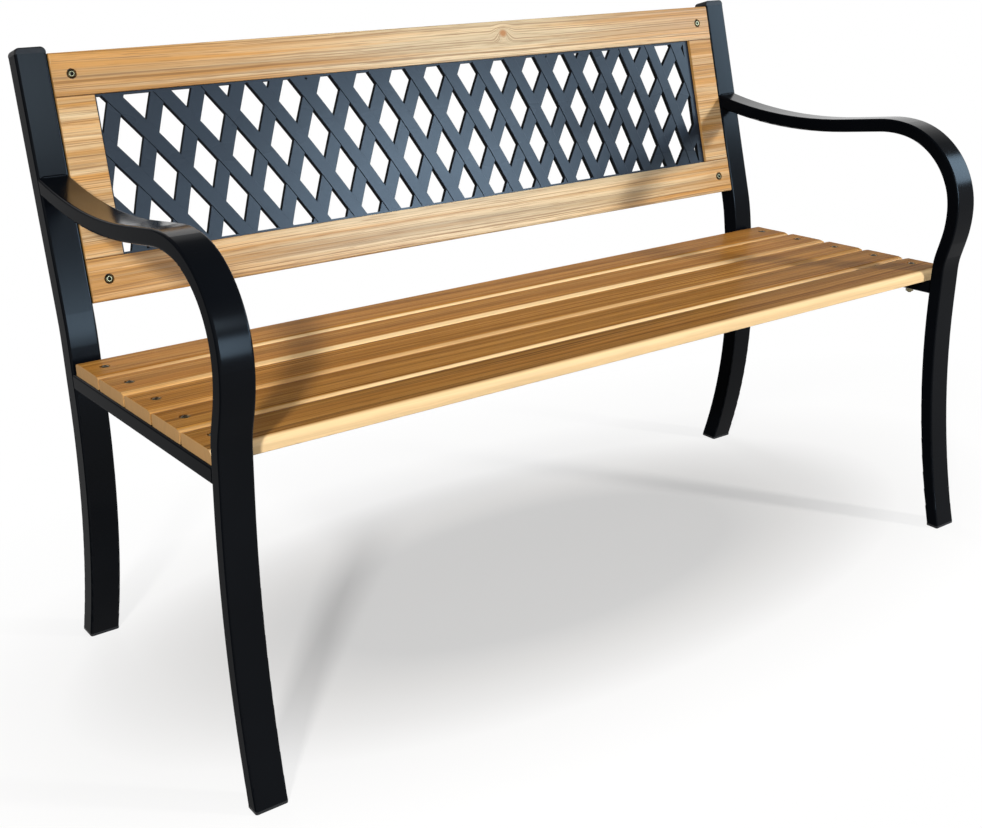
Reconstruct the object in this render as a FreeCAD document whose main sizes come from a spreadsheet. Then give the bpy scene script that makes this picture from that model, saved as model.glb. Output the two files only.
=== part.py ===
"""Garden bench: slatted wooden seat and framed lattice back between two bent steel side frames.

Frame: +X to the right as seen from the front, +Y to the rear, +Z up, origin on the floor under the
middle of the bench. Millimetres and degrees. Headings are measured from straight up towards the rear.
"""
import FreeCAD
import Part
import Sketcher
import math
import os

from FreeCAD import Placement, Rotation, Vector

doc = FreeCAD.newDocument("garden_bench")
sheet = doc.addObject("Spreadsheet::Sheet", "sizes")

SIZES = {
    # Rectangular tube of the side frames
    "bench_width": 1220,
    "tube_width": 40,
    "arm_depth": 20,
    "upright_depth": 28,
    "tube_wall": 1.5,
    "tube_corner": 3,
    "weld_gap": 0.1,
    "weld_margin": 14,
    # Rear leg and upright
    "rear_splay": 19.5,
    "rear_lean": 6.5,
    "back_bend_radius": 300,
    "back_tilt": 14.2,
    "upright_overhang": 9,
    # Front leg and armrest
    "front_splay": 13,
    "front_lean": 2.4,
    "kink_radius": 100,
    "kink_lean": 16.4,
    "kink_run": 23,
    "ease_radius": 165,
    "hoop_radius": 112,
    "hoop_turn": 80.6,
    "arm_dip": 7.1,
    "arm_run": 68,
    "arm_rise": 12,
    # Plugs in the open tube ends
    "foot_height": 4,
    "foot_round": 1,
    "plug_depth": 16,
    "plug_fit": 0.3,
    "cap_height": 8,
    "cap_round": 7,
    "cap_edge": 2,
    # Seat
    "seat_height": 401,
    "seat_slope": 0.8,
    "seat_rail_height": 20,
    "slat_count": 5,
    "slat_width": 74,
    "slat_gap": 4,
    "slat_thickness": 17,
    "slat_inset": 2,
    "front_clearance": 1.7,
    "rear_clearance": 9.2,
    "slat_round": 2,
    "slat_ease": 7.5,
    "slat_ease_fall": 2,
    "slat_under_round": 1.5,
    "slat_end_round": 1,
    "nose_round": 9,
    "seat_bolt_inset": 26,
    "nose_bolt_setback": 7,
    # Strap under the middle of the seat
    "strap_width": 25,
    "strap_thickness": 3,
    "strap_inset": 12,
    # Back
    "back_rise": 65,
    "rail_height": 55,
    "rail_thickness": 20,
    "rail_end_gap": 1.2,
    "rail_round": 3,
    "stile_width": 50,
    "stile_length": 204,
    "stile_round": 1,
    "joint_gap": 0.5,
    "back_bolt_inset": 66.6,
    "tab_length": 50,
    "tab_height": 30,
    "tab_thickness": 4,
    "dowel_diameter": 8,
    "dowel_length": 30,
    "dowel_margin": 11,
    "dowel_fit": 0.1,
    # Lattice panel
    "panel_thickness": 7,
    "panel_setback": 5,
    "ridge_height": 1,
    "ridge_inset": 0.5,
    "tongue_depth": 6,
    "tongue_fit": 0.2,
    "panel_rim": 3,
    "lattice_radius": 2500,
    "lattice_pitch": 58.5,
    "lattice_row_rise": 55.5,
    "lattice_row_level": 28.5,
    "strip_width": 20,
    # Bolts, nuts, washers and wood screws
    "bolt_diameter": 6,
    "bolt_play": 0.3,
    "bolt_head": 11,
    "bolt_head_height": 3,
    "bolt_head_round": 1.6,
    "bolt_recess_gap": 1,
    "bolt_recess_depth": 2.6,
    "bolt_tail": 2,
    "socket_flats": 4,
    "socket_depth": 2,
    "nut_flats": 10,
    "nut_height": 5,
    "nut_play": 0.1,
    "washer_diameter": 12,
    "washer_thickness": 1.5,
    "screw_diameter": 4,
    "screw_play": 0.1,
    "screw_head": 8,
    "screw_head_height": 2.5,
    "screw_grip": 12,
    "screw_end_gap": 0.5,
}
for row, (alias, number) in enumerate(SIZES.items(), start=1):
    sheet.set(f"A{row}", alias)
    sheet.set(f"B{row}", str(number))
    sheet.setAlias(f"B{row}", alias)
doc.recompute()

nodes = []
TINY = 1e-6
LEAST_CORNER = 0.3
LEAST_OPENING_AREA = 30
STRAIGHT_SHARE = 0.99
SIDES = {"left": -1, "right": 1}
LEVEL = Rotation()
BOLT_HOLE = "sizes.bolt_diameter + 2 * sizes.bolt_play"
BOLT_RECESS = "sizes.bolt_head + 2 * sizes.bolt_recess_gap"
SCREW_HOLE = "sizes.screw_diameter + 2 * sizes.screw_play"
TOWARDS_FRONT = Rotation(Vector(1, 0, 0), 90)
HALF_TURN = Rotation(Vector(0, 1, 0), 180)


# Helpers for sizes, sketches and features

def size(alias):
    """A driving size from the sheet."""
    return float(sheet.get(alias))


def value(amount):
    """A plain number, or what an expression of the sheet's sizes comes to."""
    if isinstance(amount, str):
        return float(sheet.evalExpression(amount))
    return float(amount)


def keep(item, name, placement=Placement()):
    """Name a finished sub-part, place it and put it on the list of nodes."""
    item.Label = name
    item.Placement = placement
    nodes.append(item)


def new_body(name):
    return doc.addObject("PartDesign::Body", name)


def add_sketch(body, role, offset=Placement()):
    """Sketch on one of the body's own origin planes, moved off it by the offset."""
    plane = next(item for item in body.Origin.OriginFeatures if item.Role == role)
    sketch = body.newObject("Sketcher::SketchObject", body.Name + "_sketch")
    sketch.AttachmentSupport = [(plane, "")]
    sketch.MapMode = "FlatFace"
    sketch.AttachmentOffset = offset
    return sketch


def raised(height):
    """Offset of a sketch along its plane's normal."""
    return Placement(Vector(0, 0, height), LEVEL)


def measure(sketch, amount, *parts):
    """Add a measured constraint, bound to the sheet where its amount is an expression."""
    index = sketch.addConstraint(Sketcher.Constraint(*parts, value(amount)))
    if isinstance(amount, str):
        sketch.setExpression(f"Constraints[{index}]", amount)


def measure_angle(sketch, amount, *parts):
    """Add an angle constraint given in degrees."""
    index = sketch.addConstraint(Sketcher.Constraint("Angle", *parts, math.radians(value(amount))))
    if isinstance(amount, str):
        sketch.setExpression(f"Constraints[{index}]", f"({amount}) * 1 deg")


def draw_polygon(sketch, corners):
    """Closed outline through corners given as pairs of amounts."""
    points = [Vector(value(across), value(up), 0) for across, up in corners]
    first = sketch.GeometryCount
    count = len(points)
    for index, point in enumerate(points):
        sketch.addGeometry(Part.LineSegment(point, points[(index + 1) % count]))
    for index, (across, up) in enumerate(corners):
        line = first + index
        following = first + (index + 1) % count
        sketch.addConstraint(Sketcher.Constraint("Coincident", line, 2, following, 1))
        measure(sketch, across, "DistanceX", -1, 1, line, 1)
        measure(sketch, up, "DistanceY", -1, 1, line, 1)


def draw_box(sketch, left, right, low, high):
    draw_polygon(sketch, [(left, low), (right, low), (right, high), (left, high)])


def draw_hexagon(sketch, flats):
    """Hexagon about the origin, measured across its flats."""
    corner = f"({flats}) / sqrt(3)"
    draw_polygon(sketch, [(f"{corner} * cos({turn} deg)", f"{corner} * sin({turn} deg)")
                          for turn in range(0, 360, 60)])


def draw_circle(sketch, across, up, diameter):
    centre = Vector(value(across), value(up), 0)
    circle = sketch.addGeometry(Part.Circle(centre, Vector(0, 0, 1), value(diameter) / 2))
    measure(sketch, across, "DistanceX", -1, 1, circle, 3)
    measure(sketch, up, "DistanceY", -1, 1, circle, 3)
    measure(sketch, diameter, "Diameter", circle)


def draw_rounded_box(sketch, wide, tall, corner):
    """Rectangle about the origin with rounded corners: four sides, each followed by its corner arc."""
    half_wide = value(wide) / 2
    half_tall = value(tall) / 2
    radius = value(corner)
    quarter = math.pi / 2
    first = sketch.GeometryCount
    turns = [(1, -1), (1, 1), (-1, 1), (-1, -1)]
    for index, (right, up) in enumerate(turns):
        before_right, before_up = turns[index - 1]
        centre = Vector(right * (half_wide - radius), up * (half_tall - radius), 0)
        before = Vector(before_right * (half_wide - radius), before_up * (half_tall - radius), 0)
        outward = Vector(math.cos((index - 1) * quarter), math.sin((index - 1) * quarter), 0) * radius
        sketch.addGeometry(Part.LineSegment(before + outward, centre + outward))
        circle = Part.Circle(centre, Vector(0, 0, 1), radius)
        sketch.addGeometry(Part.ArcOfCircle(circle, (index - 1) * quarter, index * quarter))
    bottom, right_side, top, left_side = range(first, first + 8, 2)
    for side in (bottom, right_side, top, left_side):
        arc = side + 1
        following = first + (side + 2 - first) % 8
        sketch.addConstraint(Sketcher.Constraint("Tangent", side, 2, arc, 1))
        sketch.addConstraint(Sketcher.Constraint("Tangent", arc, 2, following, 1))
        measure(sketch, corner, "Radius", arc)
    sketch.addConstraint(Sketcher.Constraint("Horizontal", bottom))
    measure(sketch, f"({wide}) / 2", "DistanceX", -1, 1, right_side, 1)
    measure(sketch, f"-({wide}) / 2", "DistanceX", -1, 1, left_side, 1)
    measure(sketch, f"({tall}) / 2", "DistanceY", -1, 1, top, 1)
    measure(sketch, f"-({tall}) / 2", "DistanceY", -1, 1, bottom, 1)


def add_pad(body, sketch, length, side_type="One side", backwards=False):
    pad = body.newObject("PartDesign::Pad", body.Name + "_pad")
    pad.Profile = sketch
    pad.SideType = side_type
    pad.Reversed = backwards
    pad.setExpression("Length", length)
    return pad


def add_pocket(body, sketch, depth, backwards=False):
    pocket = body.newObject("PartDesign::Pocket", body.Name + "_pocket")
    pocket.Profile = sketch
    pocket.Reversed = backwards
    pocket.setExpression("Length", depth)


def cut_through(body, sketch):
    """Cut the sketch out of the whole body, both ways from its plane."""
    pocket = body.newObject("PartDesign::Pocket", body.Name + "_cut")
    pocket.Profile = sketch
    pocket.SideType = "Symmetric"
    pocket.Type = "ThroughAll"


def round_edges(body, radius, wanted):
    """Round the body's edges that pass the test."""
    doc.recompute()
    edges = [f"Edge{index}" for index, edge in enumerate(body.Shape.Edges, start=1) if wanted(edge)]
    fillet = body.newObject("PartDesign::Fillet", body.Name + "_round")
    fillet.Base = (fillet.BaseFeature, edges)
    fillet.setExpression("Radius", radius)


def runs_along(edge, axis):
    """Whether a straight edge lies along the axis X, Y or Z."""
    spans = {"X": edge.BoundBox.XLength, "Y": edge.BoundBox.YLength, "Z": edge.BoundBox.ZLength}
    return spans[axis] > STRAIGHT_SHARE * edge.Length


def add_group(name, single, placements):
    """One node of separate equal solids."""
    doc.recompute()
    group = doc.addObject("Part::Feature", name)
    group.Shape = Part.makeCompound([single.Shape.transformed(place.toMatrix()) for place in placements])
    keep(group, name)


# Side view of a frame: points are (Y, Z) pairs held in the first two values of a vector

def along(heading):
    turn = math.radians(heading)
    return Vector(math.sin(turn), math.cos(turn), 0)


def rearward(heading):
    """Unit step square to a heading, towards the rear."""
    turn = math.radians(heading)
    return Vector(math.cos(turn), -math.sin(turn), 0)


def meet(point, heading, through, other_heading):
    """Where two lines of the side view cross."""
    square = rearward(other_heading)
    reach = (through - point).dot(square) / along(heading).dot(square)
    return point + along(heading) * reach


def bend_end(point, heading, radius, turn):
    """Far end of a bend that turns the heading, a positive turn being towards the rear."""
    centre = point + rearward(heading) * math.copysign(radius, turn)
    return centre - rearward(heading + turn) * math.copysign(radius, turn)


def walk(point, heading, steps):
    """End point and heading of a chain of ("run", length) and ("bend", radius, turn) steps."""
    for kind, *amounts in steps:
        if kind == "run":
            point = point + along(heading) * value(amounts[0])
        else:
            point = bend_end(point, heading, value(amounts[0]), value(amounts[1]))
            heading += value(amounts[1])
    return point, heading


def sine(degrees):
    return math.sin(math.radians(degrees))


def cosine(degrees):
    return math.cos(math.radians(degrees))


# Rear leg and upright: splayed at the floor, straight where the seat rail is welded on, tilted at the back

rear_lean = size("rear_lean")
rear_splay = size("rear_splay")
back_tilt = size("back_tilt")
weld_margin = size("weld_margin")
seat_stack = size("seat_rail_height") + size("slat_thickness")
rear_weld_height = size("seat_height") - seat_stack - weld_margin
rear_leg_radius = rear_weld_height / (sine(rear_splay) + sine(rear_lean))
foot_stub = size("upright_depth")
rear_foot = Vector(0, 0, 0)
REAR_LEG = [
    ("run", foot_stub),
    ("bend", rear_leg_radius, "sizes.rear_splay + sizes.rear_lean"),
    ("run", (seat_stack + 2 * weld_margin) / cosine(rear_lean)),
]
BACK_BEND = ("bend", "sizes.back_bend_radius", "sizes.back_tilt - sizes.rear_lean")
rear_start = rear_foot - along(-rear_splay) * foot_stub
rear_weld, _ = walk(rear_start, -rear_splay, REAR_LEG[:2])
upright_foot, _ = walk(rear_start, -rear_splay, REAR_LEG + [BACK_BEND])
seat_face = rear_weld - rearward(rear_lean) * size("upright_depth") / 2
upright_face = upright_foot - rearward(back_tilt) * size("upright_depth") / 2

# Seat and back frames: each has its Y towards the rear and its Z square to the seat or up the upright

seat_slope = size("seat_slope")
LEVEL_HEADING = 90
rail_top = Vector(0, size("seat_height") - size("slat_thickness"), 0)
seat_corner = meet(seat_face, rear_lean, rail_top, LEVEL_HEADING)
slats_depth = size("slat_count") * size("slat_width") + (size("slat_count") - 1) * size("slat_gap")
seat_depth = size("rear_clearance") + slats_depth + size("front_clearance")
back_level = Vector(0, size("seat_height") + size("back_rise"), 0)
back_corner = meet(upright_face, back_tilt, back_level, LEVEL_HEADING)
back_height = 2 * size("rail_height") + 2 * size("joint_gap") + size("stile_length")
upright_top = back_height + size("upright_overhang") - size("cap_height")
upright_run = (back_corner - upright_face).dot(along(back_tilt)) + upright_top


def seat_point(rear, up):
    """Side-view point from the seat frame."""
    return seat_corner + rearward(seat_slope) * rear + along(seat_slope) * up


def in_seat(point):
    """A side-view point as a pair of the seat frame."""
    offset = point - seat_corner
    return offset.dot(rearward(seat_slope)), offset.dot(along(seat_slope))


def seat_place(across=0, rear=0, up=0, turn=LEVEL):
    """Placement in the seat frame."""
    frame = Placement(Vector(0, seat_corner.x, seat_corner.y), Rotation(Vector(1, 0, 0), -seat_slope))
    return frame.multiply(Placement(Vector(across, rear, up), turn))


def back_place(across=0, rear=0, up=0, turn=LEVEL):
    """Placement in the back frame."""
    frame = Placement(Vector(0, back_corner.x, back_corner.y), Rotation(Vector(1, 0, 0), -back_tilt))
    return frame.multiply(Placement(Vector(across, rear, up), turn))


# Front leg and armrest: flared foot, kink above the seat, hoop, then a dip that rises to the upright

front_lean = size("front_lean")
front_splay = size("front_splay")
front_face = seat_point(-seat_depth, size("slat_thickness") / 2)
front_line = front_face - rearward(-front_lean) * size("arm_depth") / 2
front_weld_level = seat_point(-seat_depth, -size("seat_rail_height")) - Vector(0, weld_margin, 0)
front_weld = meet(front_line, -front_lean, front_weld_level, LEVEL_HEADING)
front_kink = meet(front_line, -front_lean, seat_point(-seat_depth, size("slat_thickness")), LEVEL_HEADING)
front_leg_radius = front_weld.y / (sine(front_splay) + sine(front_lean))
front_flare = front_leg_radius * (cosine(front_lean) - cosine(front_splay))
front_foot = front_weld - Vector(front_flare, front_weld.y, 0)
front_start = front_foot - along(front_splay) * foot_stub
FRONT_LEG = [
    ("run", foot_stub),
    ("bend", front_leg_radius, "-(sizes.front_splay + sizes.front_lean)"),
    ("run", (front_kink - front_weld).Length),
    ("bend", "sizes.kink_radius", "sizes.front_lean - sizes.kink_lean"),
    ("run", "sizes.kink_run"),
    ("bend", "sizes.ease_radius", "sizes.kink_lean"),
    ("bend", "sizes.hoop_radius", "sizes.hoop_turn"),
    ("bend", "sizes.ease_radius", "90 + sizes.arm_dip - sizes.hoop_turn"),
    ("run", "sizes.arm_run"),
]
dip_start, dip_heading = walk(front_start, front_splay, FRONT_LEG)
arm_turn = -(size("arm_dip") + size("arm_rise"))
dip_per_radius = bend_end(Vector(0, 0, 0), dip_heading, 1, arm_turn)
arm_reach = (upright_face - dip_start).dot(rearward(back_tilt))
arm_radius = arm_reach / dip_per_radius.dot(rearward(back_tilt))
ARM_DIP = [
    ("bend", arm_radius, "-(sizes.arm_dip + sizes.arm_rise)"),
    ("run", "sizes.arm_depth"),
]
arm_end, _ = walk(dip_start, dip_heading, ARM_DIP[:1])


# Bent tubes

def draw_route(sketch, start, heading, steps):
    """Centre line of a bent tube: the steps of a chain, each tangent to the one before."""
    previous = None
    for kind, *amounts in steps:
        end, end_heading = walk(start, heading, [(kind, *amounts)])
        if kind == "run":
            line = sketch.addGeometry(Part.LineSegment(start, end))
            line_ends = (1, 2)
            measure(sketch, amounts[0], "Distance", line)
        else:
            radius, turn = (value(amount) for amount in amounts)
            centre = start + rearward(heading) * math.copysign(radius, turn)
            circle = Part.Circle(centre, Vector(0, 0, 1), radius)
            towards_rear = turn > 0
            if towards_rear:
                angles = (math.pi - math.radians(end_heading), math.pi - math.radians(heading))
            else:
                angles = (-math.radians(heading), -math.radians(end_heading))
            line = sketch.addGeometry(Part.ArcOfCircle(circle, *angles))
            line_ends = (2, 1) if towards_rear else (1, 2)
            measure(sketch, amounts[0], "Radius", line)
            measure_angle(sketch, f"abs({amounts[1]})", line)
        if previous is None:
            measure(sketch, start.x, "DistanceX", -1, 1, line, line_ends[0])
            measure(sketch, start.y, "DistanceY", -1, 1, line, line_ends[0])
            measure_angle(sketch, 90 - heading, line)
        else:
            sketch.addConstraint(Sketcher.Constraint("Tangent", *previous, line, line_ends[0]))
        previous = (line, line_ends[1])
        start = end
        heading = end_heading


INSIDE_WIDTH = "sizes.tube_width - 2 * sizes.tube_wall"
INSIDE_CORNER = f"max(sizes.tube_corner - sizes.tube_wall; {LEAST_CORNER})"


def add_tube(body, start, heading, steps, depth):
    """Hollow rectangular tube swept along its centre line."""
    route = add_sketch(body, "YZ_Plane")
    draw_route(route, start, heading, steps)
    square_on = Placement(Vector(0, start.x, start.y), Rotation(Vector(1, 0, 0), -heading))
    section = add_sketch(body, "XY_Plane", square_on)
    draw_rounded_box(section, "sizes.tube_width", depth, "sizes.tube_corner")
    draw_rounded_box(section, INSIDE_WIDTH, f"{depth} - 2 * sizes.tube_wall", INSIDE_CORNER)
    tube = body.newObject("PartDesign::AdditivePipe", body.Name + "_tube")
    tube.Profile = section
    tube.Spine = route


def cut_foot(body, foot):
    """Cut the tube level, at the top of its foot plug."""
    room = 4 * size("upright_depth")
    below = add_sketch(body, "YZ_Plane")
    draw_box(below, foot.x - room, foot.x + room, -room, "sizes.foot_height")
    cut_through(body, below)


frame_middles = {side: sign * (size("bench_width") - size("tube_width")) / 2 for side, sign in SIDES.items()}
for side, frame_middle in frame_middles.items():
    in_line = Placement(Vector(frame_middle, 0, 0), LEVEL)

    upright = new_body(f"{side}_rear_upright")
    add_tube(upright, rear_start, -rear_splay, REAR_LEG + [BACK_BEND, ("run", upright_run)],
             "sizes.upright_depth")
    cut_foot(upright, rear_foot)
    keep(upright, f"{side}_rear_upright", in_line)

    arm = new_body(f"{side}_arm_front_leg")
    add_tube(arm, front_start, front_splay, FRONT_LEG + ARM_DIP, "sizes.arm_depth")
    cut_foot(arm, front_foot)
    behind = add_sketch(arm, "YZ_Plane")
    weld_face = arm_end - rearward(back_tilt) * size("weld_gap")
    room = 4 * size("arm_depth")
    corners = [weld_face + along(back_tilt) * up + rearward(back_tilt) * rear
               for rear, up in ((0, -room), (room, -room), (room, room), (0, room))]
    draw_polygon(behind, [(corner.x, corner.y) for corner in corners])
    cut_through(arm, behind)
    keep(arm, f"{side}_arm_front_leg", in_line)


# Seat rails: straight tube lying under the slat ends, welded to the upright and the front leg

slat_pitch = size("slat_width") + size("slat_gap")
slat_middles = [-size("rear_clearance") - size("slat_width") / 2 - index * slat_pitch
                for index in range(int(size("slat_count")))]
bolt_shifts = ["0"] * (len(slat_middles) - 1) + ["sizes.nose_bolt_setback"]
bolt_rows = [middle + value(shift) for middle, shift in zip(slat_middles, bolt_shifts)]
rail_rear_face = seat_face - rearward(rear_lean) * size("weld_gap")
rail_front_face = front_face + rearward(-front_lean) * size("weld_gap")


def rail_ends(depth_below):
    """Front and rear ends of a line under the seat rail's top, as pairs of the seat frame."""
    level = seat_point(0, -depth_below)
    rear_end = meet(rail_rear_face, rear_lean, level, LEVEL_HEADING + seat_slope)
    front_end = meet(rail_front_face, -front_lean, level, LEVEL_HEADING + seat_slope)
    return in_seat(front_end), in_seat(rear_end)


for side, sign in SIDES.items():
    seat_rail = new_body(f"{side}_seat_rail")
    outline = add_sketch(seat_rail, "YZ_Plane")
    top_front, top_rear = rail_ends(0)
    under_front, under_rear = rail_ends(size("seat_rail_height"))
    draw_polygon(outline, [under_front, under_rear, top_rear, top_front])
    add_pad(seat_rail, outline, "sizes.tube_width", "Symmetric")
    round_edges(seat_rail, "sizes.tube_corner", lambda edge: runs_along(edge, "Y"))
    hollow = add_sketch(seat_rail, "YZ_Plane")
    draw_box(hollow, -2 * seat_depth, seat_depth,
             "sizes.tube_wall - sizes.seat_rail_height", "-sizes.tube_wall")
    inside = seat_rail.newObject("PartDesign::Pocket", "inside")
    inside.Profile = hollow
    inside.SideType = "Symmetric"
    inside.setExpression("Length", INSIDE_WIDTH)
    holes = add_sketch(seat_rail, "XY_Plane")
    bolt_offset = f"{sign} * (sizes.tube_width / 2 - sizes.seat_bolt_inset)"
    for row in bolt_rows:
        draw_circle(holes, bolt_offset, row, BOLT_HOLE)
    cut_through(seat_rail, holes)
    keep(seat_rail, f"{side}_seat_rail", seat_place(across=frame_middles[side]))


# Plugs in the tube ends: a foot on the floor under each leg and a cap on each upright

def leg_middle(foot, heading, radius, height):
    """Centre line of a leg's long bend at a height above the floor."""
    turn = math.copysign(radius, -heading)
    end_heading = math.degrees(math.asin(sine(heading) + height / turn))
    return Vector(foot.x + turn * (cosine(heading) - cosine(end_heading)), height, 0)


def make_foot(name, across, leg, splay, depth):
    """Foot plug: a level pad under the tube and a stem that leans with the leg."""
    body = new_body(name)
    stretch = f"cos(1 deg * {splay})"
    outline = add_sketch(body, "XY_Plane")
    draw_rounded_box(outline, "sizes.tube_width", f"{depth} / {stretch}", "sizes.tube_corner")
    add_pad(body, outline, "sizes.foot_height")
    round_edges(body, "sizes.foot_round", lambda edge: edge.BoundBox.ZMax < size("foot_round"))
    stem = add_sketch(body, "XY_Plane", raised(size("foot_height")))
    stem_depth = f"({depth} - 2 * sizes.tube_wall - 2 * sizes.plug_fit) / {stretch}"
    draw_rounded_box(stem, f"{INSIDE_WIDTH} - 2 * sizes.plug_fit", stem_depth, INSIDE_CORNER)
    leaning = add_pad(body, stem, "sizes.plug_depth")
    leaning.UseCustomVector = True
    middle = leg_middle(*leg, size("foot_height"))
    stem_top = leg_middle(*leg, size("foot_height") + size("plug_depth"))
    leaning.Direction = Vector(0, stem_top.x - middle.x, stem_top.y - middle.y)
    keep(body, name, Placement(Vector(across, middle.x, 0), LEVEL))


def make_cap(name, across):
    """Upright cap: its top corners rounded as seen from the front, with a stem down into the tube."""
    body = new_body(name)
    face = add_sketch(body, "XZ_Plane")
    draw_box(face, "-sizes.tube_width / 2", "sizes.tube_width / 2", 0, "sizes.cap_height")
    add_pad(body, face, "sizes.upright_depth", "Symmetric")
    half_height = size("cap_height") / 2
    round_edges(body, f"min(sizes.cap_round; sizes.cap_height - {LEAST_CORNER})",
                lambda edge: runs_along(edge, "Y") and edge.BoundBox.ZMin > half_height)
    round_edges(body, "sizes.cap_edge",
                lambda edge: edge.BoundBox.YLength < TINY and edge.BoundBox.ZMax > half_height)
    stem = add_sketch(body, "XY_Plane")
    stem_depth = "sizes.upright_depth - 2 * sizes.tube_wall - 2 * sizes.plug_fit"
    draw_rounded_box(stem, f"{INSIDE_WIDTH} - 2 * sizes.plug_fit", stem_depth, INSIDE_CORNER)
    add_pad(body, stem, "sizes.plug_depth", backwards=True)
    keep(body, name, back_place(across, size("upright_depth") / 2, upright_top))


for side, frame_middle in frame_middles.items():
    make_foot(f"{side}_front_foot", frame_middle, (front_foot, front_splay, front_leg_radius),
              "sizes.front_splay", "sizes.arm_depth")
    make_foot(f"{side}_rear_foot", frame_middle, (rear_foot, -rear_splay, rear_leg_radius),
              "sizes.rear_splay", "sizes.upright_depth")
    make_cap(f"{side}_upright_cap", frame_middle)


# Seat slats: planks across both seat rails, their top edges planed off at a slant, the front one with a
# rounded nose and its bolts set back from it

seat_bolt_across = "(sizes.bench_width / 2 - sizes.seat_bolt_inset)"
slat_middle_height = size("slat_thickness") / 2
side_height = "(sizes.slat_thickness - sizes.slat_under_round)"
nose_round = f"min(sizes.nose_round; {side_height} - {LEAST_CORNER})"
slat_round = f"min(sizes.slat_round; {side_height} - sizes.slat_ease_fall - {LEAST_CORNER})"


rear_corners = [("-sizes.slat_width / 2", 0), ("sizes.slat_width / 2", 0),
                ("sizes.slat_width / 2", "sizes.slat_thickness - sizes.slat_ease_fall"),
                ("sizes.slat_width / 2 - sizes.slat_ease", "sizes.slat_thickness")]
eased_corners = [("-sizes.slat_width / 2 + sizes.slat_ease", "sizes.slat_thickness"),
                 ("-sizes.slat_width / 2", "sizes.slat_thickness - sizes.slat_ease_fall")]
nose_corners = [("-sizes.slat_width / 2", "sizes.slat_thickness")]


def slat_edges(front, top):
    """Test for the long edges of a slat at its front or rear, top or underside."""
    def wanted(edge):
        centre = edge.BoundBox.Center
        level_with = (centre.y < 0) == front and (centre.z > slat_middle_height) == top
        return runs_along(edge, "X") and level_with
    return wanted


for index, middle in enumerate(slat_middles):
    name = f"seat_slat_{index + 1}"
    slat = new_body(name)
    section = add_sketch(slat, "YZ_Plane")
    is_front = index == len(slat_middles) - 1
    draw_polygon(section, rear_corners + (nose_corners if is_front else eased_corners))
    add_pad(slat, section, "sizes.bench_width - 2 * sizes.slat_inset", "Symmetric")
    round_edges(slat, nose_round if is_front else slat_round, slat_edges(True, True))
    round_edges(slat, slat_round, slat_edges(False, True))
    round_edges(slat, "sizes.slat_under_round", slat_edges(True, False))
    round_edges(slat, "sizes.slat_under_round", slat_edges(False, False))
    round_edges(slat, f"min(sizes.slat_end_round; sizes.slat_under_round - {LEAST_CORNER})",
                lambda edge: edge.BoundBox.XLength < TINY)
    holes = add_sketch(slat, "XY_Plane")
    recesses = add_sketch(slat, "XY_Plane", raised(size("slat_thickness")))
    for sign in SIDES.values():
        draw_circle(holes, f"{sign} * {seat_bolt_across}", bolt_shifts[index], BOLT_HOLE)
        draw_circle(recesses, f"{sign} * {seat_bolt_across}", bolt_shifts[index], BOLT_RECESS)
    cut_through(slat, holes)
    add_pocket(slat, recesses, "sizes.bolt_recess_depth")
    pilot = add_sketch(slat, "XY_Plane")
    draw_circle(pilot, 0, 0, SCREW_HOLE)
    add_pocket(slat, pilot, "sizes.screw_grip + sizes.screw_end_gap", backwards=True)
    keep(slat, name, seat_place(rear=middle))


# Strap under the slats at mid-span

strap = new_body("seat_strap")
flat = add_sketch(strap, "XY_Plane")
strap_rear = -size("rear_clearance") - size("strap_inset")
strap_front = strap_rear - slats_depth + 2 * size("strap_inset")
draw_box(flat, "-sizes.strap_width / 2", "sizes.strap_width / 2", strap_front, strap_rear)
for middle in slat_middles:
    draw_circle(flat, 0, middle, SCREW_HOLE)
add_pad(strap, flat, "sizes.strap_thickness", backwards=True)
keep(strap, "seat_strap", seat_place())


# Back rails: between the uprights and flush with their fronts, grooved for the panel, drilled for dowels

rail_half = "(sizes.bench_width / 2 - sizes.tube_width - sizes.rail_end_gap)"
back_bolt_across = "(sizes.bench_width / 2 - sizes.back_bolt_inset)"
stile_middle = f"({rail_half} - sizes.stile_width / 2)"
tongue_reach = f"({rail_half} - sizes.stile_width + sizes.tongue_depth)"
groove_front = "sizes.panel_setback - sizes.tongue_fit"
groove_rear = "sizes.panel_setback + sizes.panel_thickness + sizes.tongue_fit"
groove_depth = "(sizes.tongue_depth + sizes.tongue_fit)"
dowel_hole = "sizes.dowel_diameter + 2 * sizes.dowel_fit"
dowel_hole_depth = "(sizes.dowel_length - sizes.joint_gap) / 2 + sizes.dowel_fit"
dowel_rear = "sizes.rail_thickness / 2"
outer_dowel = "(sizes.stile_width / 2 - sizes.dowel_margin)"
inner_dowel = f"({outer_dowel} - {groove_depth})"


def dowel_offsets(sign):
    """Where a stile's two dowels stand across it, from its middle."""
    return f"{sign} * {outer_dowel}", f"{-sign} * {inner_dowel}"


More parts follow.
